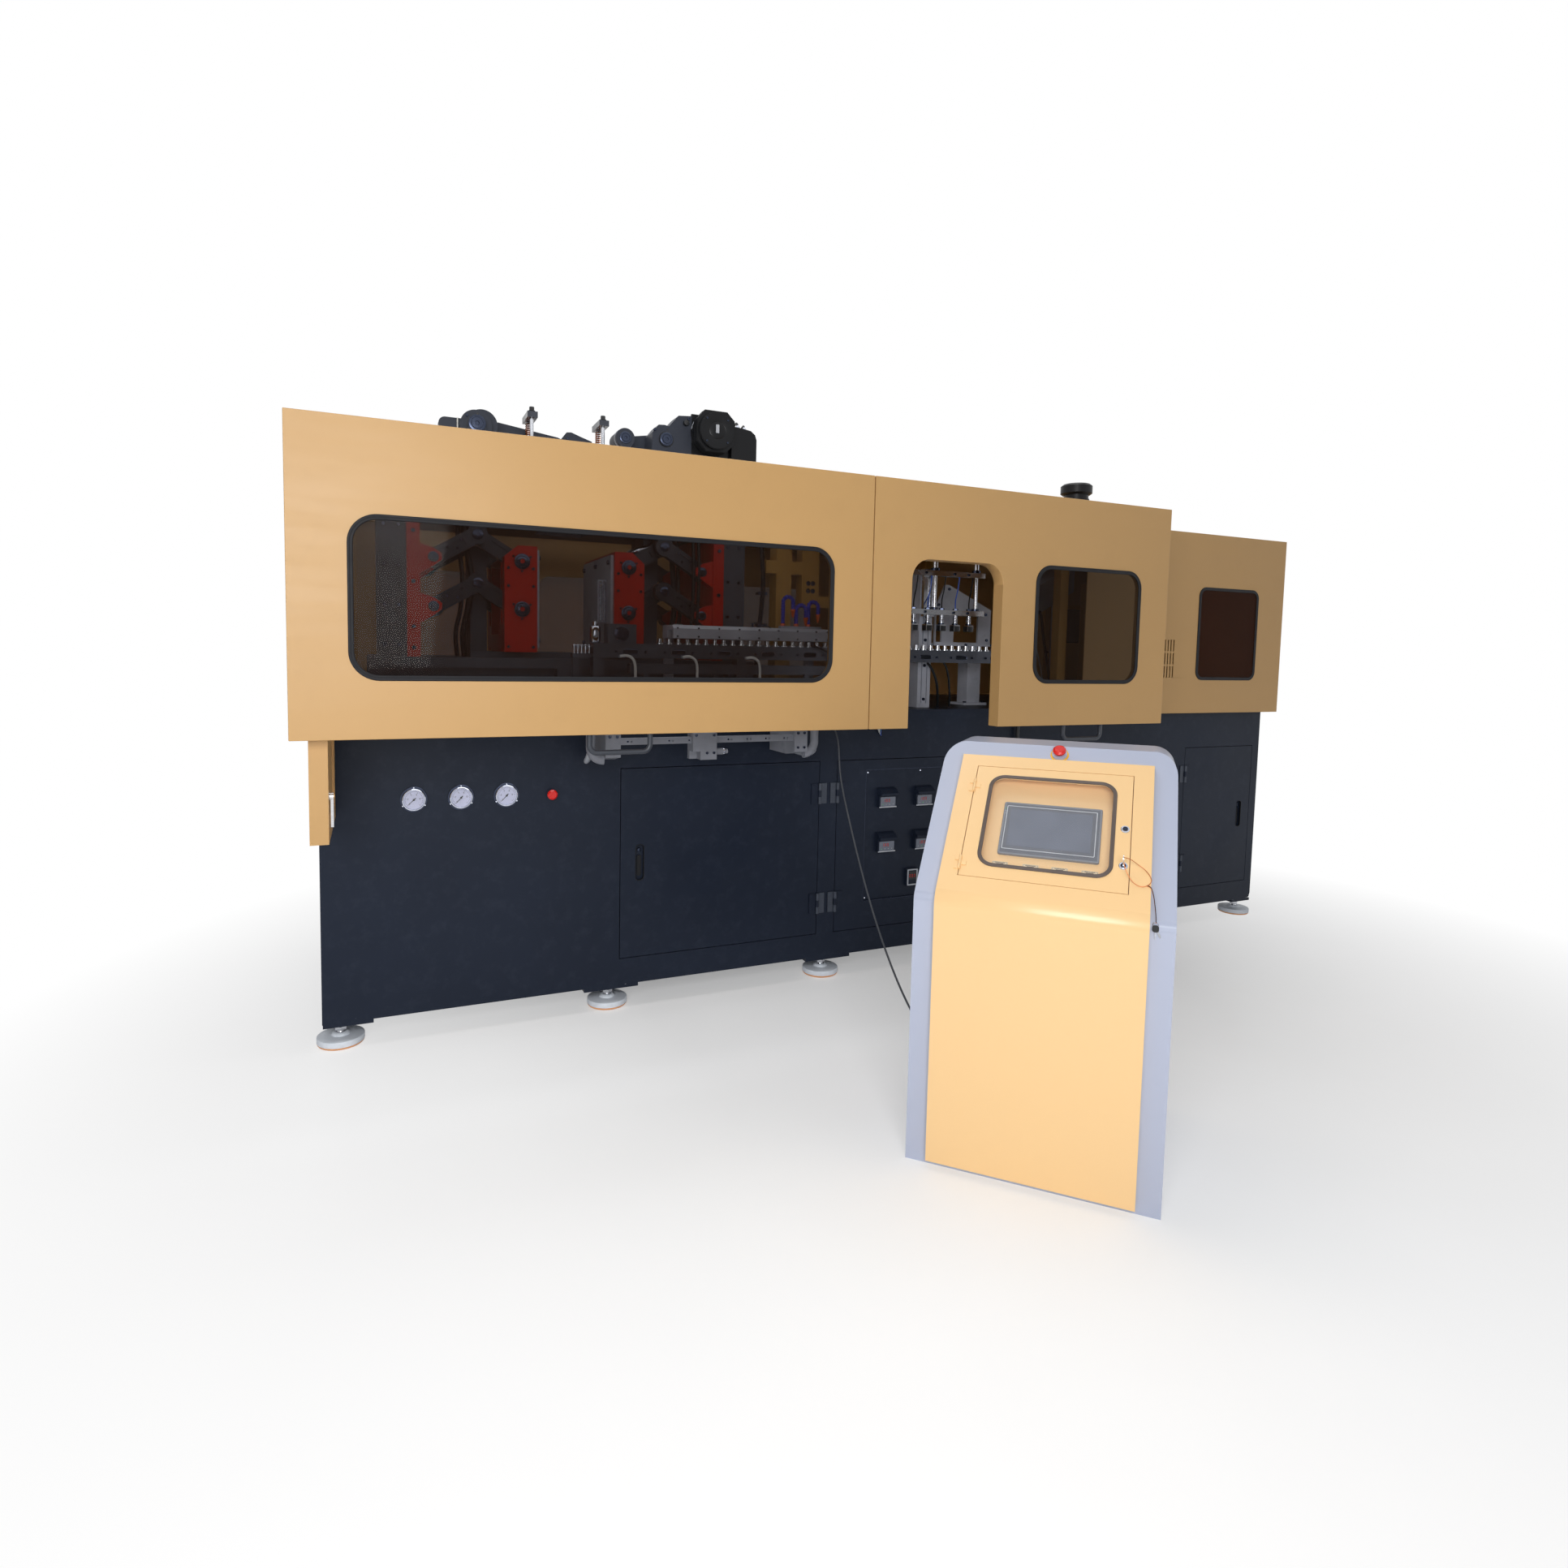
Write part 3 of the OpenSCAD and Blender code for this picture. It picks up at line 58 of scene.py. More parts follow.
def srgb(r, g, b):
    """Display values from 0 to 255 as linear light, by the standard curve."""
    c = np.array([r, g, b], float) / 255.0
    return tuple(np.where(c <= 0.04045, c / 12.92, ((c + 0.055) / 1.055) ** 2.4)) + (1.0,)


def camera_axes(yaw, pitch, roll):
    """Right, down and forward from turns about the upright, the level and the view line."""
    y, p, r = (math.radians(a) for a in (yaw, pitch, roll))
    forward = np.array([math.sin(y) * math.cos(p), math.cos(y) * math.cos(p), -math.sin(p)])
    level = np.array([math.cos(y), -math.sin(y), 0.0])
    down = np.cross(forward, level)
    return math.cos(r) * level + math.sin(r) * down, -math.sin(r) * level + math.cos(r) * down, forward


def make_camera():
    right, down, forward = camera_axes(YAW, PITCH, ROLL)
    data = bpy.data.cameras.new("viewpoint")
    cam = bpy.data.objects.new("viewpoint", data)
    bpy.context.scene.collection.objects.link(cam)
    turn = Matrix([[right[i], -down[i], -forward[i]] for i in range(3)]).to_4x4()
    cam.matrix_world = Matrix.Translation(Vector(metres(CAMERA_AT))) @ turn
    data.sensor_width = SENSOR
    data.lens = SENSOR * FOCAL / FRAME
    data.shift_x, data.shift_y = (FRAME / 2 - MIDDLE[0]) / FRAME, (MIDDLE[1] - FRAME / 2) / FRAME
    data.clip_start, data.clip_end = 0.05, 200.0
    bpy.context.scene.camera = cam


# Finishes
def shade(colour, factor):
    return tuple(min(1.0, c * factor) for c in colour[:3]) + (1.0,)


class Nodes:
    """The nodes of one material or of the world, added one after another."""

    def __init__(self, owner, out):
        owner.use_nodes = True
        self.tree = owner.node_tree
        self.tree.nodes.clear()
        self.out = self.node(out).inputs["Surface"]

    def node(self, kind, **values):
        """Adds a node; a value whose name is an input sets that input, any other a property."""
        n = self.tree.nodes.new("ShaderNode" + kind)
        for key, value in values.items():
            if key in n.inputs:
                n.inputs[key].default_value = value
            else:
                setattr(n, key, value)
        return n

    def put(self, socket, value):
        """Sets a constant on a socket, or links another node's output to it."""
        if isinstance(value, (int, float, tuple)):
            socket.default_value = value
        else:
            self.tree.links.new(value, socket)

    def math(self, operation, a, b):
        n = self.node("Math", operation=operation)
        self.put(n.inputs[0], a)
        self.put(n.inputs[1], b)
        return n.outputs[0]

    def mixed(self, fac, a, b):
        """Mixes two shaders by fac and sends the result to the output."""
        n = self.node("MixShader")
        for socket, value in zip(n.inputs, (fac, a.outputs[0], b.outputs[0])):
            self.put(socket, value)
        self.put(self.out, n.outputs[0])

    def seen(self):
        """1 for a ray of the camera, a reflection or a see-through sheet, else 0."""
        ray = self.node("LightPath").outputs
        rest = self.math("MAXIMUM", ray["Is Glossy Ray"], ray["Is Transmission Ray"])
        return self.math("MAXIMUM", ray["Is Camera Ray"], rest)


class Finish(Nodes):
    """A material whose patterns follow Object coordinates."""

    def __init__(self, name):
        self.mat = bpy.data.materials.new(name)
        super().__init__(self.mat, "OutputMaterial")
        self.coord = self.node("TexCoord").outputs["Object"]

    def stretch(self, *scale):
        n = self.node("Mapping", Scale=scale)
        self.put(n.inputs["Vector"], self.coord)
        return n.outputs[0]

    def noise(self, scale, detail=2.0, vector=None, rough=0.5):
        n = self.node("TexNoise", Scale=scale, Detail=detail, Roughness=rough)
        self.put(n.inputs["Vector"], vector or self.coord)
        return n.outputs["Fac"]

    def band(self, value, low, high, out_low=0.0, out_high=1.0):
        n = self.node("MapRange")
        for socket, number in zip(n.inputs, (value, low, high, out_low, out_high)):
            self.put(socket, number)
        return n.outputs[0]

    def drift(self, scale, detail, low=0.0, high=1.0, vector=None, rough=0.5):
        """Noise whose middle part is spread from low to high."""
        return self.band(self.noise(scale, detail, vector, rough), 0.3, 0.7, low, high)

    def patches(self, scale, detail, low, high, amount, rough=0.5, vector=None):
        """Noise that counts only above low, times an amount."""
        return self.math("MULTIPLY", self.band(self.noise(scale, detail, vector, rough), low, high), amount)

    def height(self):
        n = self.node("SeparateXYZ")
        self.put(n.inputs[0], self.coord)
        return n.outputs["Z"]

    def blend(self, fac, a, b):
        n = self.node("Mix", data_type="RGBA")
        for k, value in ((0, fac), (6, a), (7, b)):
            self.put(n.inputs[k], value)
        return n.outputs[2]

    def bump(self, height, strength, distance, normal=None):
        n = self.node("Bump", Strength=strength, Distance=distance)
        self.put(n.inputs["Height"], height)
        if normal:
            self.put(n.inputs["Normal"], normal)
        return n.outputs[0]

    def close(self, colour, rough, metal, normal, **sockets):
        """Ends the material in one Principled node; sockets are inputs by name, with _ for a blank."""
        b = self.node("BsdfPrincipled", **{key.replace("_", " "): value for key, value in sockets.items()})
        for socket, value in (("Base Color", colour), ("Roughness", rough), ("Metallic", metal), ("Normal", normal)):
            self.put(b.inputs[socket], value)
        self.put(self.out, b.outputs[0])
        return self.mat


def enamel(name, rgb, rough=0.38, drift=0.10, soil=0.25, coat=0.0, glint=0.4, dark_below=0.0, wipe=0.03):
    """Stoved paint: slow colour drift, fine orange-peel relief, faint wipe marks and dust in patches."""
    f, colour = Finish(name), srgb(*rgb)
    base = f.blend(f.drift(0.9, 3.0), shade(colour, 1 - drift), shade(colour, 1 + drift * 0.6))
    base = f.blend(f.patches(7.0, 6.0, 0.52, 0.78, soil, 0.65), base, shade(colour, 0.72))
    if dark_below:
        edge = f.band(f.height(), dark_below - 0.0004, dark_below, 1.0, 0.0)
        base = f.blend(edge, base, srgb(52, 56, 64))
    roughness = f.drift(30.0, 3.0, rough - wipe, rough + wipe, f.stretch(0.12, 0.12, 1.0))
    normal = f.bump(f.noise(420.0), 0.10, 0.0004)
    return f.close(base, roughness, 0.0, normal, Coat_Weight=coat, Coat_Roughness=0.12, Specular_IOR_Level=glint)


def base_enamel(name, rgb):
    """Dark navy cabinet paint with pale chips along the lower edge, faint bows in the sheet and fine dust."""
    f, colour = Finish(name), srgb(*rgb)
    base = f.blend(f.drift(1.1, 4.0), shade(colour, 0.85), shade(colour, 1.2))
    base = f.blend(f.patches(16.0, 8.0, 0.5, 0.85, 0.10, 0.7), base, srgb(92, 100, 116))
    low = f.band(f.height(), 0.098, 0.14, 1.0, 0.0)
    chips = f.patches(9.0, 6.0, 0.70, 0.73, low, vector=f.stretch(1.0, 1.0, 3.0))
    base = f.blend(chips, base, srgb(180, 186, 190))
    normal = f.bump(f.noise(420.0), 0.10, 0.0004, f.bump(f.noise(1.6, 1.0), 0.25, 0.01))
    return f.close(base, f.drift(5.0, 4.0, 0.34, 0.46), 0.0, normal, Specular_IOR_Level=0.16)


def steel(name, rgb, rough=0.32, oil=0.3, metal=1.0, relief=0.15, dark_above=0.0):
    """Ground or drawn steel: fine lines along one way, with darker oiled patches."""
    f, colour = Finish(name), srgb(*rgb)
    lines = f.noise(60.0, 4.0, f.stretch(1.0, 1.0, 12.0), 0.6)
    base = f.blend(f.band(lines, 0.3, 0.7), shade(colour, 0.82), shade(colour, 1.12))
    base = f.blend(f.patches(9.0, 5.0, 0.45, 0.75, oil, 0.65), base, shade(colour, 0.35))
    if dark_above:
        head = f.band(f.height(), dark_above, dark_above + 0.0004)
        base, metal = f.blend(head, base, srgb(56, 60, 70)), f.band(head, 0.0, 1.0, metal, 0.2)
    roughness = f.drift(14.0, 4.0, rough - 0.08, rough + 0.12)
    return f.close(base, roughness, metal, f.bump(lines, relief, 0.0003))


def casting(name, rgb, rough=0.6, metal=0.0):
    """Primed or raw casting: pebbled skin, blotches and a few rubbed spots."""
    f, colour = Finish(name), srgb(*rgb)
    base = f.blend(f.drift(6.0, 5.0), shade(colour, 0.8), shade(colour, 1.15))
    base = f.blend(f.patches(22.0, 6.0, 0.56, 0.72, 0.4, 0.7), base, shade(colour, 0.5))
    roughness = f.drift(18.0, 3.0, rough - 0.1, rough + 0.1)
    return f.close(base, roughness, metal, f.bump(f.noise(260.0, 4.0), 0.5, 0.0006))


def moulded(name, rgb, rough=0.4, grain=0.2, **sockets):
    """Moulded plastic: fine spark grain, slight drift of colour and a trace of dust."""
    f, colour = Finish(name), srgb(*rgb)
    base = f.blend(f.drift(14.0, 3.0), shade(colour, 0.9), shade(colour, 1.06))
    base = f.blend(f.patches(60.0, 6.0, 0.55, 0.8, 0.25, 0.7), base, shade(colour, 0.7))
    roughness = f.drift(24.0, 3.0, rough - 0.05, rough + 0.07)
    return f.close(base, roughness, 0.0, f.bump(f.noise(900.0), grain, 0.0002), **sockets)


def tinted(name, rgb, cover, rough=0.04):
    """Tinted acrylic sheet: a thin see-through film of colour on each side, with faint hairline haze."""
    f, colour = Finish(name), srgb(*rgb)
    haze = f.band(f.noise(40.0, 6.0, f.stretch(1.0, 1.0, 0.2), 0.7), 0.5, 0.9, rough, rough + 0.06)
    base = f.blend(f.drift(2.0, 2.0), shade(colour, 0.94), colour)
    return f.close(base, haze, 0.0, f.bump(f.noise(3.0, 1.0), 0.05, 0.002), Alpha=cover, Specular_IOR_Level=0.05)


SAND = (198, 157, 102)
sand = enamel("sand_enamel", SAND, 0.40, 0.03, 0.10)
sand_guard = enamel("sand_enamel_guard", SAND, 0.40, 0.03, 0.10, dark_below=1.1699)
# The console's sand is a lighter copy of the guards' sand paint: painted light, for the brighter light on the console.
sand_console_painted_light = enamel("sand_enamel_console_painted_light", (240, 201, 146), 0.28, 0.01, 0.01, coat=0.15, wipe=0.003)
ochre = enamel("ochre_enamel", (196, 150, 78), 0.42)
navy = base_enamel("navy_enamel", (27, 34, 48))
lilac = enamel("lilac_grey_enamel", (176, 183, 203), 0.32, 0.03, 0.05, wipe=0.01)
red_enamel = enamel("platen_red_enamel", (186, 28, 12), 0.36, 0.12, 0.5, glint=0.25)
slate = enamel("slate_enamel", (56, 60, 70), 0.45, 0.15, 0.5, glint=0.2)
pitch = enamel("pitch_black_enamel", (20, 21, 24), 0.36, 0.1, 0.3, glint=0.2)
oiled = steel("oiled_machine_steel", (92, 96, 106), 0.36, metal=0.85)
link_steel = steel("black_oiled_steel", (48, 50, 58), 0.4, metal=0.5)
bright = steel("ground_bright_steel", (196, 198, 204), 0.20, 0.15)
post_steel = steel("post_steel", (196, 198, 204), 0.20, 0.15, dark_above=2.3992)
mirror_steel = steel("polished_steel", (224, 224, 226), 0.12, 0.05, relief=0.03)
hinge_steel = steel("dark_plated_steel", (60, 66, 78), 0.42, metal=0.3)
copper = steel("coppered_wire", (196, 122, 78), 0.3)
chrome = steel("chrome_plate", (206, 210, 222), 0.10, 0.10, relief=0.02)
dark_chrome = steel("dark_chrome", (62, 68, 84), 0.22, relief=0.03)
primed = casting("grey_primed_casting", (168, 171, 182))
rail_grey = casting("rail_grey_casting", (124, 127, 136))
dark_cast = casting("dark_casting", (70, 74, 84), 0.5, 0.3)
foot_white = moulded("foot_white_plastic", (214, 212, 212), 0.5)
foot_pale = moulded("foot_pale_plastic", (230, 236, 244), 0.5)
foot_orange = moulded("foot_orange_rubber", (232, 170, 118), 0.6)
dial_white = moulded("dial_white", (214, 212, 228), 0.35)
dial_lavender = moulded("dial_lavender", (196, 200, 226), 0.35, 0.05)
black_plastic = moulded("black_plastic", (22, 23, 26), 0.35)
gasket = moulded("gasket_rubber", (26, 26, 30), 0.5, 0.3, Specular_IOR_Level=0.2)
door_seal = moulded("door_seal_rubber", (82, 70, 64), 0.5, 0.3)
print_black = moulded("print_black", (18, 18, 22), 0.5, 0.05)
screen_glass = moulded("screen_glass", (92, 99, 116), 0.16, 0.02, Coat_Weight=0.6, Coat_Roughness=0.05)
screen_case = moulded("screen_case", (120, 124, 132), 0.42)
case_grey = moulded("screen_case_grey", (86, 90, 100))
silver_line = moulded("silver_line", (206, 210, 216), 0.35, 0.05)
plate_beige = moulded("plate_beige", (226, 208, 176), 0.4, 0.05)
collar_yellow = moulded("collar_yellow", (236, 178, 30), 0.4, 0.05)
strap_grey = moulded("strap_grey", (150, 154, 162), 0.5)
tie_pale = moulded("tie_pale", (214, 212, 204), 0.45)
film_pale = moulded("film_pale", (186, 190, 198), 0.3)
hose_black = moulded("hose_black_rubber", (20, 21, 24), 0.42, 0.3, Specular_IOR_Level=0.25)
hose_blue = moulded("hose_blue_plastic", (34, 44, 176), 0.35)
nozzle_orange = moulded("nozzle_orange_plastic", (226, 96, 26))
wire_white = moulded("wire_white", (206, 208, 206))
wire_blue = moulded("wire_blue", (60, 96, 190))
wire_green = moulded("wire_green", (70, 150, 96))
lamp_red = moulded("lamp_red", (200, 30, 22), 0.3, 0.02)
lamp_green = moulded("lamp_green", (60, 160, 80), 0.3, 0.02)
sheath = moulded("cable_sheath", (24, 25, 29), 0.48, 0.3)
sheath_grey = moulded("cable_sheath_grey", (52, 55, 62), 0.5, 0.3)
white_plastic = moulded("white_plastic", (216, 216, 214), 0.45)
stop_red = moulded("stop_red_plastic", (212, 26, 18), 0.25, 0.05)
push_blue = moulded("push_blue_plastic", (30, 60, 180), 0.25, 0.05)
window_brown = tinted("brown_tinted_sheet", (28, 15, 8), 0.50)
window_amber = tinted("amber_tinted_sheet", (62, 28, 12), 0.62)
window_rear = tinted("rear_tinted_sheet", (158, 96, 40), 0.74)
window_clear = tinted("clear_sheet", (226, 228, 232), 0.04)

CAD_FINISH = (
    (navy, "base_cabinet base_door_1 base_door_2 base_door_3"), (foot_white, "levelling_feet"),
    (dial_white, "pressure_gauges"), (stop_red, "base_stop_button push_red console_stop_button"),
    (hinge_steel, "hinge_leaves"), (ochre, "cover_frame"), (sand, "rear_covers right_housing end_door"),
    (window_amber, "fixed_windows"), (sand_guard, "guard_left guard_right"),
    (window_brown, "window_left window_right"), (mirror_steel, "latch_lever"), (dark_cast, "clamp_bed"),
    (red_enamel, "tailstock_left tailstock_right platen_left platen_right"),
    (slate, "clamp_top gearbox drive_crank rocker_arm"), (post_steel, "guide_posts"), (copper, "guide_springs"),
    (pitch, "servo_motor feeder_motor"), (primed, "oven_box transfer_frame"), (oiled, "conveyor_beam"),
    (bright, "mandrels pick_head lock_upper lock_lower"), (hose_blue, "coolant_hoses"),
    (rail_grey, "front_rail rail_carriage"), (lilac, "console_body"), (sand_console_painted_light, "console_panel screen_door"),
    (window_clear, "screen_window"), (case_grey, "operator_screen"), (push_blue, "push_blue"),
    (black_plastic, "selector"), (sheath, "console_cable"), (sheath_grey, "thin_cable"),
    (link_steel, " ".join(name for name in NODES if name.startswith("link_"))),
)
FOLDED_SHEETS = "guard_left guard_right right_housing end_door console_body console_panel screen_door".split()


def finish_nodes():
    for finish, names in CAD_FINISH:
        for name in names.split():
            materials = NODES[name].data.materials
            materials.clear()
            materials.append(finish)
    for name in FOLDED_SHEETS:
        soften(NODES[name], 2.0, weld=True)


# Surfaces
TIP = 0.02  # the radius at which a turned end counts as closed
EDGE_ANGLE = math.radians(40)  # a sharper fold than this is rounded by soften


def grid_faces(nu, nv, wrap_u=False, wrap_v=False):
    """Four-cornered faces between neighbours of an nu by nv grid of points."""
    i = np.arange(nu if wrap_u else nu - 1)[:, None]
    j = np.arange(nv if wrap_v else nv - 1)[None, :]
    k, l = (i + 1) % nu, (j + 1) % nv
    corners = [i * nv + j, k * nv + j, k * nv + l, i * nv + l]
    return [tuple(q) for q in np.stack(corners, -1).reshape(-1, 4).tolist()]


def outward(points, faces):
    """Turns all faces round where the enclosed volume comes out negative."""
    total = 0.0
    centre = points.mean(0)
    for f in faces:
        p = points[list(f)] - centre
        total += float((p[0] * np.cross(p[1:-1], p[2:])).sum())
    return [tuple(reversed(f)) for f in faces] if total < 0 else faces


def axes_to(direction):
    """Two directions square to the given one."""
    w = np.asarray(direction, float) / np.linalg.norm(direction)
    seed = np.array([0.0, 0.0, 1.0]) if abs(w[2]) < 0.9 else np.array([1.0, 0.0, 0.0])
    u = np.cross(seed, w)
    u /= np.linalg.norm(u)
    return u, np.cross(w, u), w


def turned(profile, at, along, sides=40):
    """A profile of (radius, height) pairs carried round the axis: point = at + h*w + r*(cos a*u + sin a*v)."""
    u, v, w = axes_to(along)
    r, h = np.array(profile, float).T
    a = np.linspace(0, 2 * math.pi, sides, endpoint=False)
    spoke = np.cos(a)[:, None] * u + np.sin(a)[:, None] * v
    r = np.maximum(r, TIP)
    points = (np.asarray(at, float) + h[:, None, None] * w + r[:, None, None] * spoke[None]).reshape(-1, 3)
    ends = [tuple(range(sides - 1, -1, -1)), tuple(range((len(r) - 1) * sides, len(r) * sides))]
    return points, outward(points, grid_faces(len(r), sides, wrap_v=True) + ends)


def prism(outline, low, high, along="y"):
    """An outline moved from low to high along an axis, with both ends closed."""
    o = np.array(outline, float)
    n = len(o)
    place = {"x": (1, 2, 0), "y": (0, 2, 1), "z": (0, 1, 2)}[along]
    points = np.zeros((2 * n, 3))
    points[:, place[0]] = np.tile(o[:, 0], 2)
    points[:, place[1]] = np.tile(o[:, 1], 2)
    points[:n, place[2]], points[n:, place[2]] = low, high
    faces = [(a, (a + 1) % n, (a + 1) % n + n, a + n) for a in range(n)]
    faces += [tuple(range(n - 1, -1, -1)), tuple(range(n, 2 * n))]
    return points, outward(points, faces)


def oblong(x0, z0, x1, z1):
    """The four corners of an upright rectangle."""
    return [(x0, z0), (x1, z0), (x1, z1), (x0, z1)]


def rounded(x0, z0, w, h, r, steps=6):
    """A rectangle whose corners are quarter circles, point by point."""
    pts = []
    for k, (cx, cz) in enumerate(oblong(x0 + r, z0 + r, x0 + w - r, z0 + h - r)[1:] + [(x0 + r, z0 + r)]):
        a = np.linspace(-math.pi / 2, 0, steps) + k * math.pi / 2
        pts += list(zip(cx + r * np.cos(a), cz + r * np.sin(a)))
    return pts


def circle(x, z, r, n=32):
    """Points at even steps round a circle: centre + r*(cos a, sin a)."""
    a = np.linspace(0, 2 * math.pi, n, endpoint=False)
    return list(zip(x + r * np.cos(a), z + r * np.sin(a)))


def flow(path, fine=6):
    """A smooth curve through the corners of a route, by the cubic that passes through four neighbours."""
    p = np.asarray(path, float)
    q = np.vstack([p[:1], p, p[-1:]])
    t = np.arange(fine)[:, None] / fine
    out = []
    for a, b, c, d in zip(q, q[1:], q[2:], q[3:]):
        square, cube = 2 * a - 5 * b + 4 * c - d, 3 * b - a - 3 * c + d
        out.append(0.5 * (2 * b + (c - a) * t + square * t ** 2 + cube * t ** 3))
    return np.vstack(out + [p[-1:]])


def tube(path, radius, sides=10):
    """A ring carried along a path, its start turned as little as possible from point to point."""
    p = np.asarray(path, float)
    n = len(p)
    t = np.gradient(p, axis=0)
    t /= np.linalg.norm(t, axis=1)[:, None]
    u = np.zeros_like(p)
    u[0] = axes_to(t[0])[0]
    for i in range(1, n):
        s = u[i - 1] - t[i] * (u[i - 1] @ t[i])
        u[i] = s / np.linalg.norm(s)
    v = np.cross(t, u)
    a = np.linspace(0, 2 * math.pi, sides, endpoint=False)
    r = np.broadcast_to(np.asarray(radius, float), (n,))[:, None, None]
    ring = np.cos(a)[None, :, None] * u[:, None] + np.sin(a)[None, :, None] * v[:, None]
    points = (p[:, None] + r * ring).reshape(-1, 3)
    ends = [tuple(range(sides - 1, -1, -1)), tuple(range((n - 1) * sides, n * sides))]
    return points, outward(points, grid_faces(n, sides, wrap_v=True) + ends)


def ribbed(points, radius, pitch, deep=0.16):
    """A corrugated hose: a tube whose radius swells and narrows by a sine of the length along it."""
    p = flow(points, 12)
    run = np.concatenate([[0], np.cumsum(np.linalg.norm(np.diff(p, axis=0), axis=1))])
    even = np.linspace(0, run[-1], max(8, int(run[-1] / pitch * 4)))
    q = np.stack([np.interp(even, run, p[:, k]) for k in range(3)], 1)
    return tube(q, radius * (1 - deep / 2 + deep / 2 * np.sin(2 * math.pi * even / pitch)), 12)


def around(outline, profile, place):
    """A closed profile of (outward, height) pairs carried round a closed outline, its corners mitred."""
    o, f = np.asarray(outline, float), np.asarray(profile, float)
    a, b = np.roll(o, -1, 0) - o, o - np.roll(o, 1, 0)
    a /= np.linalg.norm(a, axis=1)[:, None]
    b /= np.linalg.norm(b, axis=1)[:, None]
    n = np.stack([a[:, 1] + b[:, 1], -a[:, 0] - b[:, 0]], 1)
    n /= (n * np.stack([a[:, 1], -a[:, 0]], 1)).sum(1)[:, None]
    flat = o[:, None, :] + f[None, :, :1] * n[:, None, :]
    high = np.broadcast_to(f[None, :, 1:], flat.shape[:2] + (1,))
    points = place(np.concatenate([flat, high], 2).reshape(-1, 3))
    return points, outward(points, grid_faces(len(o), len(f), True, True))


def upright(y):
    """Takes an outline in X and Z, with heights toward the viewer, to its place at depth y."""
    return lambda p: np.stack([p[:, 0], y - p[:, 2], p[:, 1]], 1)


def raised(h):
    """Lifts an outline that lies in X and Y by h."""
    return lambda p: p + [0, 0, h]


def on_console(p):
    """Console frame, X across and Y to the back, turned and moved to its place on the floor."""
    p = np.asarray(p, float)
    c, s = math.cos(CONSOLE_TURN), math.sin(CONSOLE_TURN)
    out = p.copy()
    out[:, 0] = CONSOLE_AT[0] + c * p[:, 0] - s * p[:, 1]
    out[:, 1] = CONSOLE_AT[1] + s * p[:, 0] + c * p[:, 1]
    return out


def on_slope(p):
    """Slope frame, X across, Y up the slope and Z out of it, taken to the console frame and then to its place."""
    p = np.asarray(p, float)
    a = math.atan2(SLOPE_RISE, SLOPE_RUN)
    out = p.copy()
    out[:, 1] = p[:, 1] * math.cos(a) - p[:, 2] * math.sin(a)
    out[:, 2] = KNEE_HEIGHT + p[:, 1] * math.sin(a) + p[:, 2] * math.cos(a)
    return on_console(out)


def soften(obj, width, weld=False):
    """Rounds the sharp edges of a piece by a small radius, in millimetres."""
    if weld:
        obj.modifiers.new("join", "WELD").merge_threshold = 0.00005
    b = obj.modifiers.new("edges", "BEVEL")
    b.width, b.segments, b.limit_method, b.angle_limit = width / MM, 2, "ANGLE", EDGE_ANGLE
    b.use_clamp_overlap = b.harden_normals = True


DIGITS = {"0": "abcdef", "2": "abged", "4": "fgbc", "6": "afedcg", "8": "abcdefg", "1": "bc"}
STROKES = {"a": (0, 2, 1, 2), "b": (1, 1, 1, 2), "c": (1, 0, 1, 1), "d": (0, 0, 1, 0), "e": (0, 0, 0, 1),
           "f": (0, 1, 0, 2), "g": (0, 1, 1, 1)}


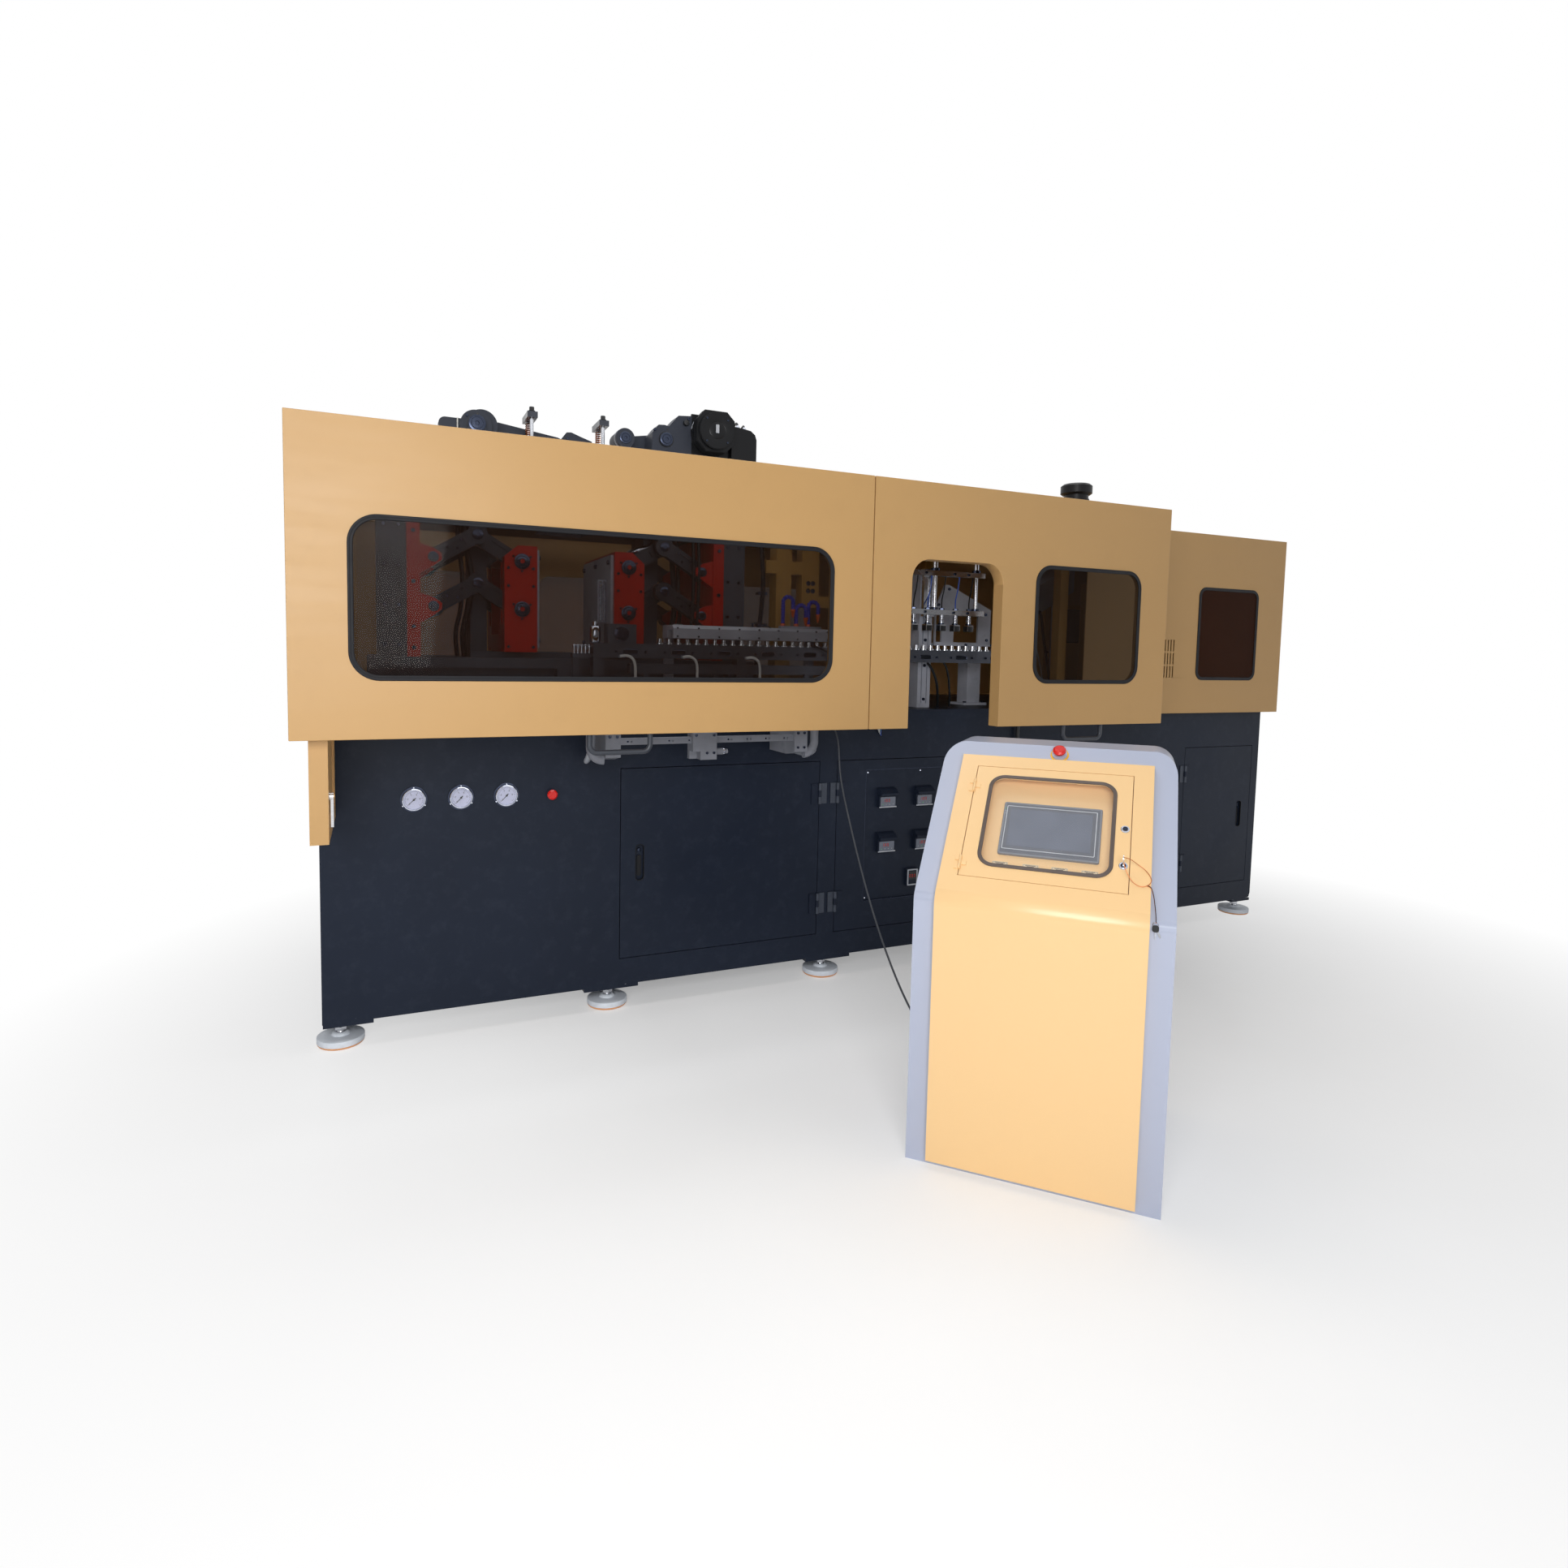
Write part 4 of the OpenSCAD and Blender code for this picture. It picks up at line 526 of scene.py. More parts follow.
class Piece:
    """Gathers surfaces, each with its finish, into one object that sits at the origin."""

    def __init__(self, name, body="machine", slot=None, turn=None):
        self.name, self.body, self.slot, self.turn = name, body, slot, turn
        self.points, self.faces, self.index, self.finishes, self.count = [], [], [], [], 0

    def add(self, surface, finish):
        points, faces = surface
        if finish not in self.finishes:
            self.finishes.append(finish)
        self.points.append(points)
        self.faces += [tuple(c + self.count for c in f) for f in faces]
        self.index += [self.finishes.index(finish)] * len(faces)
        self.count += len(points)
        return self

    def spin(self, profile, at, finish=dark_chrome, sides=24, along=FRONT):
        return self.add(turned(profile, at, along, sides), finish)

    def plate(self, outline, low, high, finish, along="y"):
        return self.add(prism(outline, low, high, along), finish)

    def rim(self, outline, profile, place, finish):
        return self.add(around(outline, profile, place), finish)

    def hose(self, route, radius, finish=hose_black, sides=12, fine=6):
        return self.add(tube(flow(route, fine), radius, sides), finish)

    def screws(self, r, places, along=FRONT, finish=dark_chrome):
        """Cap screw heads: a turned profile with a chamfered rim and a sunk round drive."""
        for at in places:
            self.spin([(0, 0.5 * r), (0.5 * r, 0.5 * r), (0.54 * r, 1.05 * r), (0.88 * r, 1.05 * r), (r, 0.9 * r),
                       (r, -0.1 * r)], at, finish, 20, along)

    def nut(self, at, r, high, finish=dark_chrome, along=UP):
        """A six-sided nut or bolt head, its outer edge chamfered."""
        self.spin([(0, high), (0.84 * r, high), (r, 0.8 * high), (r, -0.2)], at, finish, 6, along)

    def shaft_end(self, at, r):
        """A retaining ring in its groove round a shaft end with a centre hole, all in one turned profile."""
        self.spin([(1.5 * r, -0.2), (1.5 * r, 2.4), (1.44 * r, 3.2), (1.08 * r, 3.2), (1.04 * r, 1.6), (0.97 * r, 1.6),
                   (0.93 * r, 4.4), (0.36 * r, 4.8), (0.3 * r, 2.2), (0, 2.2)], at, dark_chrome, 40)

    def number(self, marks, x, z, size, step, low, high, finish):
        """Plain digits made of straight strokes, each a thin raised bar."""
        t = 0.16 * size
        for n, mark in enumerate(marks):
            left = x + step * n
            for key in DIGITS[mark]:
                a, b, c, d = (v * size for v in STROKES[key])
                self.plate(oblong(left + min(a, c) - t, z + min(b, d) - t, left + max(a, c) + t, z + max(b, d) + t),
                           low, high, finish)

    def make(self, angle=40.0, bevel=0.0):
        points = np.vstack(self.points)
        if self.turn is not None:
            points = self.turn(points)
        mesh = bpy.data.meshes.new(self.name)
        mesh.from_pydata(metres(points).tolist(), [], self.faces)
        for finish in self.finishes:
            mesh.materials.append(finish)
        mesh.polygons.foreach_set("material_index", np.array(self.index, np.int32))
        mesh.shade_smooth()
        mesh.set_sharp_from_angle(angle=math.radians(angle))
        obj = bpy.data.objects.new(self.name, mesh)
        bpy.context.scene.collection.objects.link(obj)
        if bevel:
            soften(obj, bevel)
        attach(obj, self.body)
        return obj


# Cords
CONSOLE_ROUTE = [
    [3070, 587, 1421.8], [3070, 587, 1390], [3070, 584, 1350], [3070, 577, 1300], [3069, 566, 1240],
    [3068, 556, 1190], [3067, 551, 1130], [3066, 550, 1040], [3064, 550, 780], [3062, 550, 500],
    [3060, 548, 280], [3056, 530, 130], [3044, 470, 42], [3024, 400, 14], [3000, 330, 9.8],
    [2950, 200, 9.4], [2840, 0, 9.4], [2730, -200, 9.4], [2670, -300, 9.6], [2622, -362, 13],
    [2572, -411, 32], [2522, -458, 68], [2474, -503, 108], [2436, -539, 135], [2406, -567.5, 147],
    [2380, -592.3, 150], [2356, -615, 150]]
THIN_ROUTE = [
    [2030, 553.8, 1130], [2030, 540, 1130], [2030, 520, 1130], [2030, 494, 1122], [2031, 474, 1098],
    [2033, 460, 1054], [2037, 435, 905], [2044, 350, 715], [2052, 265, 548], [2060, 180, 402],
    [2068, 95, 280], [2075, 10, 179], [2081, -75, 101], [2087, -160, 45], [2094, -235, 13],
    [2112, -292, 5], [2160, -330, 4.8], [2230, -352, 5], [2310, -358, 8], [2374, -364, 26],
    [2406, -388, 64], [2398, -416, 102], [2366, -442, 134], [2328, -476, 149], [2299.2, -503.5, 150],
    [2284.4, -517.5, 150], [2269.6, -531.5, 150]]


def lay_cord(name, node, route, radius, finish, slot):
    """A round sheath swept along the route that the solid follows, with a ribbed strain relief at each end."""
    path = flow(route)
    piece = Piece(name, slot=slot).add(tube(path, radius, 12), finish).make(60.0)
    boots = Piece(name + "_boots", slot=slot)
    boot = [(radius + 0.1, 0.4), (1.7 * radius, 0.4), (1.7 * radius, 0.7 * radius)]
    for n in range(5):
        boot += [(radius * (1.6 - 0.1 * n), radius * (0.8 + 0.5 * n)),
                 (radius * (1.45 - 0.08 * n), radius * (1.0 + 0.5 * n))]
    boot += [(1.1 * radius, 3.5 * radius), (radius + 0.1, 3.6 * radius)]
    for a, b in ((0, 1), (-1, -2)):
        boots.spin(boot, route[a], hose_black, 28, np.subtract(route[b], route[a]))
    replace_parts(piece, node)
    boots.make()


# Windows and their rubber seals
SEAL = [(0, 0), (0, 2.6), (-1.2, 3.8), (-6.4, 3.8), (-7.4, 3.0), (-8.6, 3.0), (-9.6, 3.8), (-14.8, 3.8),
        (-16, 2.6), (-16, 0)]
SEAL_HOLD = 8.3  # how far a sheet reaches in under its seal
SILL = 1343  # lower edge of most windows


def pane(x, z, w, h, r, y0, y1, along="y"):
    """A sheet cut to a rounded outline that reaches under its seal."""
    s = SEAL_HOLD
    return prism(rounded(x + s, z + s, w - 2 * s, h - 2 * s, r - s, 10), y0, y1, along)


def make_windows():
    for side, x, w, h, r in (("left", 157, 1588, 484, 85), ("right", 2666, 571, 480, 75)):
        glazed = Piece("glazing_" + side, "guard_" + side, "window_tint")
        glazed.add(pane(x, SILL, w, h, r, 0, 5), window_brown)
        glazed.rim(rounded(x, SILL, w, h, r, 12), SEAL, upright(0), gasket)
        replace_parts(glazed.make(angle=50), "window_" + side)
    glazed = Piece("glazing_fixed", "machine", "amber_tint")
    glazed.add(pane(4195, 1345, 453, 490, 48, 508, 513), window_amber)
    glazed.rim(rounded(4195, 1345, 453, 490, 48, 10), SEAL, upright(508), gasket)
    for x in (260, 1000, 2100):
        glazed.add(pane(x, SILL, 500, 484, 75, 1895, 1900), window_rear)
    glazed.add(pane(800, SILL, 700, 484, 75, 45, 50, "x"), window_rear)
    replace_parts(glazed.make(angle=50), "fixed_windows")
    glazed = Piece("glazing_console", "screen_door", "screen_tint", on_slope)
    glazed.add(pane(-180, 105, 360, 330, 46, 19, 25, "z"), window_clear)
    lip = [(0, 0), (0, 2.0), (-1, 3), (-4.8, 3), (-5.5, 2.4), (-6.2, 3), (-10, 3), (-11, 2), (-11, 0)]
    glazed.rim(rounded(-180, 105, 360, 330, 46, 12), lip, raised(25), door_seal)
    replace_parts(glazed.make(angle=50), "screen_window")


# Gauges and feet
def stroke(x, z, angle, near, far, half_near, half_far):
    """A tapered stroke from near to far along a spoke at an angle, as an outline."""
    d, n = np.array([math.cos(angle), math.sin(angle)]), np.array([-math.sin(angle), math.cos(angle)])
    c = np.array([x, z])
    return [tuple(c + near * d - half_near * n), tuple(c + far * d - half_far * n),
            tuple(c + far * d + half_far * n), tuple(c + near * d + half_near * n)]


def make_gauges():
    g = Piece("gauge_faces", slot="gauge_face")
    y, z = BASE_FRONT, 892
    for k in range(3):
        x = 351 + 162 * k
        at = (x, y, z)
        g.spin([(0, 0), (46, 0), (47, 1), (47, 4), (46, 5), (40.6, 5), (39.6, 6), (39.5, 13.6), (38.8, 13.6),
                (38.8, 8.0), (0, 8.0)], at, dark_chrome, 56)
        g.rim(circle(x, z, 39.6, 56), [(0, 0), (0, 2.2), (-1.4, 3.4), (-3.2, 3.4), (-4.8, 1.6), (-5.4, -3), (-5.4, -6)],
              upright(y - 12.6), chrome)
        g.spin([(0, 9.6), (34.6, 9.6), (34.6, 8.6)], at, dial_lavender, 56)
        for n in range(31):
            long = 3.4 if n % 6 else 6.5
            tick = stroke(x, z, math.radians(225 - 9 * n), 31.6 - long, 31.6, 0.5, 0.5)
            g.plate(tick, y - 10.1, y - 9.5, print_black)
        for n, mark in enumerate("02468"):
            a = math.radians(225 - 54 * n)
            g.number(mark, x + 20.5 * math.cos(a) - 1.3, z + 20.5 * math.sin(a) - 2.6, 2.6, 0, y - 10.0, y - 9.5,
                     print_black)
        g.plate(stroke(x, z, math.radians(228 if k else 222), -9, 27, 1.7, 0.5), y - 11.6, y - 10.9, print_black)
        g.spin([(3.6, 9.2), (3.8, 11.8), (2.8, 12.9), (0, 13.1)], at, print_black, 20)
        g.spin([(0, 14.0), (20, 13.8), (34.4, 13.2), (34.4, 12.4), (20, 13.0), (0, 13.2)], at, window_clear, 40)
        for a in np.radians([-30, 90, 210]).tolist():
            g.screws(2.9, [(x + 43.2 * math.cos(a), y - 5, z + 43.2 * math.sin(a))], finish=chrome)
    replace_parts(g.make(), "pressure_gauges")


def make_feet():
    """Each foot: a rubber rim, a domed pad, a collar and a screw whose thread is a row of ridges, all turned."""
    f = Piece("feet", slot="foot_plastic")
    thread = [(12.0 if n % 2 else 10.6, 46 + 1.5 * n) for n in range(26)]
    for at in [(x, y, 0) for x in (100, 1083, 2066, 3383, 4765) for y in (640, 1768)]:
        f.spin([(0, 0.2), (73, 0.2), (76, 1.4), (78.6, 5), (79.4, 8.4), (78.2, 8.8)], at, foot_orange, 48, UP)
        f.spin([(77.0, 8.4), (79.6, 9.2), (80, 12), (80, 26.6), (79.2, 29.2), (76.6, 30.4), (40, 31.2), (32, 32.4),
                (29, 38), (23, 41.4), (20.4, 42)], at, foot_pale, 48, UP)
        f.spin([(20.4, 41.6), (12.0, 42.4)] + thread + [(12.0, 85)], at, bright, 24, UP)
        f.spin([(12.2, 48), (18.8, 48), (21.4, 50), (21.4, 62), (18.8, 64), (12.2, 64)], at, bright, 6, UP)
    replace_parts(f.make(), "levelling_feet")


# Console fittings
def make_console():
    c = Piece("console_trim", slot="console_paint", turn=on_slope)
    # The recess liner and its walls take the lighter console copy of the sand paint, which is painted light.
    c.plate(rounded(-223.4, 65.6, 444.8, 400.8, 1.0, 2), -15.0, -14.6, sand_console_painted_light, "z")
    c.rim(rounded(-223.6, 65.4, 445.2, 401.2, 1.0, 2), [(0, 0), (0, 14.9), (-0.5, 14.9), (-0.5, 0)], raised(-15),
          sand_console_painted_light)
    for x in (-120, -37, 42):
        c.rim(circle(x, 118, 12.5), [(0, 0), (0, 6.4), (-1.0, 7.5), (-3.0, 7.5), (-3.9, 6.4), (-3.9, 0)], raised(-15),
              chrome)
    for x in (-120, -36, 42, 121):
        c.plate(rounded(x - 22, 139, 44, 12, 2), -14.8, -14.0, plate_beige, "z")
        c.rim(rounded(x - 20.5, 140.5, 41, 9, 1.5), [(0, 0), (0, 0.15), (-0.7, 0.15), (-0.7, 0)], raised(-14.0),
              print_black)
        c.plate(rounded(x - 14, 146, 28, 1.5, 0.6, 2), -14.1, -13.8, print_black, "z")
        c.plate(rounded(x - 10, 142.8, 20, 1.5, 0.6, 2), -14.1, -13.8, print_black, "z")
    c.rim(circle(8, 550, 27, 40), [(0, 0), (0, 1.2), (-0.6, 1.8), (-4.6, 1.8), (-4.9, 1.2), (-4.9, 0)], raised(0),
          collar_yellow)
    c.make()
    d = Piece("screen_unit", slot="screen_case", turn=on_slope)
    d.plate(rounded(-131, 174, 274, 186, 6), -15, -7.2, screen_case, "z")
    d.rim(rounded(-131, 174, 274, 186, 6), [(0, -1.2), (-1.1, -0.1), (-5, 0.0), (-6, -1.2)], raised(-6.0), screen_case)
    d.plate(rounded(-126, 179, 264, 176, 4, 5), -7.6, -6.6, case_grey, "z")
    d.rim(rounded(-122, 192, 252, 155, 3), [(0, 0), (0, 0.2), (-1.9, 0.2), (-1.9, 0)], raised(-6.6), silver_line)
    d.plate(rounded(-111, 204, 229, 132, 2), -6.8, -6.3, screen_glass, "z")
    for k, lamp in enumerate((lamp_green, strap_grey, strap_grey)):
        d.spin([(1.8, -0.1), (1.6, 0.5), (0, 0.7)], (-128.2 + 2.6, 336 - 9 * k, -6.5), lamp, 12, UP)
    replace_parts(d.make(), "operator_screen")
    for name, x, finish in (("red", -120, stop_red), ("blue", -37, push_blue)):
        cap = Piece("push_caps_" + name, "push_" + name, turn=on_slope)
        cap.spin([(7.9, 0), (7.9, 1.2), (7.0, 2.0), (0, 1.5)], (x, 118, -3.4), finish, 24, UP).make(35)
    knob = Piece("selector_mark", "selector", turn=on_slope)
    knob.plate(oblong(41.2, 121, 42.8, 128), 2.2, 2.7, white_plastic, "z").make(35)
    for name, s in (("upper", 273), ("lower", 152)):
        ring = Piece("lock_collar_" + name, "screen_door", turn=on_slope)
        ring.rim(circle(205, s, 11.6), [(0, -3), (0, 3.0), (-1.1, 4.0), (-3.4, 4.0), (-4.1, 3.4), (-4.1, -3)],
                 raised(25), chrome).make(35)
        face = Piece("lock_face_" + name, "lock_" + name, turn=on_slope)
        face.spin([(6.9, 0), (6.7, 0.5), (5.4, 0.6), (5.1, 0.2), (0, 0.2)], (205, s, 30), dark_chrome, 28, UP)
        face.plate(oblong(202, s - 0.7, 208, s + 0.7), 29.6, 30.5, print_black, "z").make(35)
    ring = Piece("key_ring", "lock_lower", turn=on_slope)
    ring.hose([(205, 152, 67), (222, 158, 52), (241, 155, 36), (262, 142, 28.5), (275, 118, 27.4), (268, 100, 27.2),
               (249, 93, 27.2), (228, 104, 32), (212, 128, 44), (205, 148, 57), (205, 152, 67)], 1.0, copper, 8)
    for n, r in ((0, 11.0), (1, 8.4)):
        ring.spin([(r - 1.4, 203.8 + n * 0.2), (r, 204.0 + n * 0.2), (r, 206.0 - n * 0.2), (r - 1.4, 206.2 - n * 0.2)],
                  (0, 152, 59), chrome, 24, RIGHT)
    ring.make(50)
    keys = Piece("spare_keys", turn=on_console)
    cord = flow([(266, 52.3, 861), (274, 49, 857.5), (279, 44, 848), (283, 33, 833), (286, 19, 815), (288, 6, 801),
                 (289, -2, 790), (289, -4.6, 781)], 5)
    keys.add(tube(cord, 1.1, 8), copper)
    keys.add(tube(cord + [0, -0.6, 2.2], 0.9, 8), hose_black)
    keys.rim(circle(289, 777, 7, 24), [(0.9, 0), (0, 0.9), (-0.9, 0), (0, -0.9)], upright(-4), chrome)
    keys.plate(rounded(281, 758, 16, 18, 6), -6.8, -2.2, black_plastic)
    keys.plate([(287, 758), (287, 742), (289.6, 738), (292, 742), (290.6, 745), (292, 748), (291, 758)], -5.2, -3.2,
               chrome)
    keys.plate([(291, 768), (301, 752), (303, 744), (299.6, 743), (296, 749), (288, 766)], -2.6, -0.9, bright)
    keys.make(35, 0.3)


# Drive on the roof
ROCKER_PIN, GEAR_SHAFT, CRANK_PIN, MOTOR = (607, 2327), (1398, 2363), (1228, 2360), (1603, 2407)


def round_motor(radius, y, turn):
    """A point at a radius and an angle round the motor's axis, at depth y."""
    return MOTOR[0] + radius * math.cos(turn), y, MOTOR[1] + radius * math.sin(turn)


def make_roof():
    (rx, rz), (gx, gz), (cx, cz), (mx, mz) = ROCKER_PIN, GEAR_SHAFT, CRANK_PIN, MOTOR
    top = Piece("shaft_ends", slot="gear_paint")
    top.shaft_end((rx, 884, rz), 22)
    top.rim(circle(gx, gz, 33.6, 44), [(0.6, 0), (0.6, 0.4), (-1.6, 0.4), (-1.6, 0)], upright(930), print_black)
    top.shaft_end((gx, 922, gz), 19)
    top.spin([(4.6, -0.2), (4.4, 0.4), (0, 0.2)], (1404, 930, 2407), print_black, 16)
    top.spin([(8.6, -5), (8.6, 7), (12.4, 8.2), (13, 12), (11, 16), (0, 17)], (1486, 930, 2443), black_plastic, 28)
    top.screws(6.5, [(x, 930, z) for x, z in ((1346, 2285), (1346, 2400), (1500, 2285), (1500, 2462))])
    for x in (545, 669):
        top.nut((x, 888, 1996), 9, 6, along=FRONT)
    for x in (1352, 1680):
        for y in (958, 1062):
            top.nut((x, y, 2273), 9, 6)
    top.make()
    arm = Piece("rocker_fittings", "rocker_arm", "gear_paint")
    arm.rim(circle(rx, rz, 37, 48), [(0, 0), (0, 0.35), (-2.2, 0.35), (-2.2, 0)], upright(922), print_black)
    arm.spin([(4.8, -0.2), (4.6, 0.4), (0, 0.2)], (612, 922, 2373), print_black, 16)
    arm.screws(5, [(572, 922, 2362)])
    arm.rim(rounded(949.5, 2302.5, 41, 52, 2, 3), [(0.2, 0), (1.4, 0.4), (1.4, 4.6), (0.2, 5)],
            lambda p: np.stack([536 + p[:, 2], p[:, 0], p[:, 1]], 1), tie_pale)
    arm.plate(oblong(536, 946, 541, 949.4), 2320, 2329, tie_pale, "z")
    arm.screws(6, [(x, 1080, z) for x, z in ((960, 2335), (1000, 2352), (1080, 2330))])
    arm.make()
    crank = Piece("crank_fittings", "drive_crank", "gear_paint")
    crank.rim(circle(cx, cz, 41.2, 44), [(0, 0), (1.3, 0.4), (1.3, 13.6), (0, 14)], upright(1006), strap_grey)
    crank.shaft_end((cx, 970, cz), 17)
    crank.make()
    posts = Piece("post_nuts", slot="bright_steel")
    for x in (836, 1136):
        posts.spin([(10.4, 0), (10.4, 19.4), (9, 22.3), (0, 22.5)], (x, 999, 2424), black_plastic, 24, UP)
        posts.nut((x, 999, 2424), 15, 8, hose_black)
        posts.nut((x, 1091, 2424), 10, 6)
        for z in (2272.8, 1988):
            posts.spin([(6.2, 0), (15, 0), (16, 1), (16, 3.6), (15, 4.4), (6.2, 4.4)], (x, 1091, z), along=UP)
        posts.nut((x, 999, 1988), 14, 9)
    posts.make()
    motor = Piece("motor_fittings", slot="black_steel")
    sides = [(mx + a, mz + b) for a, b in ((-46, -86), (46, -86), (86, -46), (86, 52), (52, 86), (-50, 86), (-84, 46),
                                           (-84, -46))]
    for k in range(6):
        motor.rim(sides, [(-0.4, 0), (2.6, 0.4), (2.6, 3.2), (-0.4, 3.6)], upright(863 + 8.6 * k + 3.6), pitch)
    motor.spin([(78, -0.2), (77, 1.6), (40, 2.2), (37, 0.8), (34, 2.4), (12, 2.8), (11, 1.2), (0, 1.2)],
               (mx, 844, mz), pitch, 48)
    for k in range(4):
        a = math.radians(45 + 90 * k)
        motor.screws(4.6, [round_motor(68, 844, a)])
        motor.screws(5, [round_motor(86, 914, a + 0.78)])
    arc = [round_motor(q, 0, a)[::2] for q, t in ((93.0, (100, 172)), (93.8, (172, 100)))
           for a in np.radians(np.linspace(*t, 14))]
    motor.plate(arc, 917, 926, film_pale)
    motor.plate(rounded(1596, 2396, 15, 36, 2), 840.6, 841.6, film_pale)
    for x, z in ((1742, 2446.6), (1774, 2442)):
        motor.spin([(9, -2), (9, 4), (7.4, 5), (7.4, 12), (8.4, 13), (8.4, 19), (6.8, 21), (0, 21.4)], (x, 958, z),
                   chrome, 24, (0.1, 0, 1))
    motor.hose([(1742, 958, 2464), (1744, 966, 2478), (1748, 992, 2486), (1752, 1030, 2478), (1752, 1070, 2440),
                (1748, 1086, 2380), (1744, 1080, 2300), (1735, 1060, 2200), (1720, 1040, 2100), (1712, 1030, 1989)], 5)
    motor.hose([(1775, 958, 2459), (1778, 968, 2472), (1784, 996, 2478), (1788, 1040, 2464), (1786, 1078, 2420),
                (1780, 1092, 2350), (1770, 1088, 2260), (1756, 1060, 2160), (1734, 1046, 2060), (1726, 1040, 1989)], 4)
    motor.plate(rounded(3369, 478, 26, 44, 5, 4), 2130, 2196, pitch, "z")
    motor.spin([(7.4, -1), (7.4, 8), (6, 10), (0, 10.4)], (3394, 500, 2150), chrome, 20, RIGHT)
    for k in range(4):
        a = math.radians(45 + 90 * k)
        motor.screws(5, [(3320 + 76 * math.cos(a), 500 + 76 * math.sin(a), 2102)], UP)
    motor.spin([(20, 0), (20, 1.0), (18, 1.6), (16, 0.8), (0, 0.8)], (3320, 500, 2279), pitch, 30, UP)
    motor.make()


# Mould clamp seen through the left window
CLAMP_MIDDLE, PIN_LEVELS, LINK = 980, (("upper", 1787), ("lower", 1599)), 191.05


def make_clamp():
    for side, sign in (("left", 1), ("right", -1)):
        at = lambda x: CLAMP_MIDDLE + sign * (x - CLAMP_MIDDLE)
        plates = Piece("platen_fittings_" + side, "platen_" + side, "machined_dark")
        for _, z in PIN_LEVELS:
            plates.spin([(30.6, -0.2), (30.6, 8.6), (29, 9.8), (21.4, 9.8), (20.6, 14.2), (19, 15.2), (9, 15.4),
                         (8.4, 11), (0, 11)], (at(764), 780, z), sides=36)
            for t in (math.radians(a) for a in (30, 150, 270)):
                plates.screws(4.6, [(at(764) + 38 * math.cos(t), 780, z + 38 * math.sin(t))])
        x0, x1 = sorted((at(823.2), at(834.6)))
        plates.plate(rounded(800, 1446, 520, 392, 6, 3), x0, x1, primed, "x")
        plates.screws(9, [(at(834.6), y, z) for y in (830, 1060, 1290) for z in (1476, 1808)], (sign, 0, 0))
        plates.screws(6, [(at(x), 780, z) for x in (712, 808) for z in (1450, 1690, 1760)])
        plates.make()
        posts = Piece("tail_fittings_" + side, slot="machined_dark")
        for _, z in PIN_LEVELS:
            posts.spin([(20.4, -0.2), (20.4, 1.6), (19, 2.8), (8, 3), (7.4, 0.8), (0, 0.8)], (at(436), 789, z),
                       sides=30)
        posts.screws(8, [(at(364), 780, z) for z in (1440, 1520, 1690, 1880, 1925)])
        posts.screws(7, [(at(x), 800, z) for x in (262, 314) for z in (1450, 1600, 1750, 1900)])
        posts.make()
        for level, z in PIN_LEVELS:
            name = "link_in_%s_%s" % (level, side)
            pin = Piece("knee_pin_%s_%s" % (level, side), name, "machined_dark")
            pin.spin([(20.6, -0.2), (20.6, 1.8), (19, 3), (8, 3.2), (7.4, 1), (0, 1)], (at(600), 803, z + 98), sides=30)
            u, w = np.array([164 * sign, 98]) / LINK, np.array([-98 * sign, 164]) / LINK
            for k, q in ((0.34, 11), (0.66, 11), (0.5, -12)):
                c = np.array([at(436), z]) + k * LINK * u + q * w
                pin.screws(5.4, [(c[0], 807, c[1])])
            pin.make()
    lines = Piece("clamp_lines", slot="machined_dark")
    lines.add(ribbed([(1360, 948, 1944), (1352, 930, 1925), (1330, 900, 1900), (1290, 872, 1880), (1262, 862, 1872),
                      (1246, 870, 1862), (1240, 900, 1850)], 13, 9), chrome)
    for k, x in enumerate((560, 532, 1420, 1448)):
        lines.hose([(x, 930, 1944), (x + 6, 916, 1850), (x + 26 - 8 * k, 896, 1720), (x + 10, 892, 1600),
                    (x - 8, 906, 1500), (x, 930, 1410)], 9 if k % 2 else 12)
    for x in (1482, 1506):
        lines.hose([(x, 800, 1944), (x + 4, 792, 1800), (x, 790, 1650), (x - 6, 792, 1520), (x, 800, 1408)], 7,
                   sides=10)
    lines.add(ribbed([(1790, 780, 1945), (1794, 770, 1880), (1800, 764, 1760), (1796, 768, 1640), (1788, 776, 1540),
                      (1786, 790, 1420), (1786, 800, DECK)], 11, 11), hose_black)
    for z in (1700, 1560):
        lines.plate(rounded(1776, z, 44, 14, 3, 3), 760, 792, dark_chrome)
    lines.make(50)
    stack = Piece("mould_studs", "platen_right", "bright_steel")
    for k in range(13):
        for x in (1098, 1116):
            stack.spin([(6.4, 0), (6.4, 9), (5, 10.4), (0, 10.6)], (x, 872, 1570 + 13 * k), chrome, 14)
    stack.plate(rounded(1088, 1560, 38, 178, 4, 3), 872, 900, primed)
    stack.make()


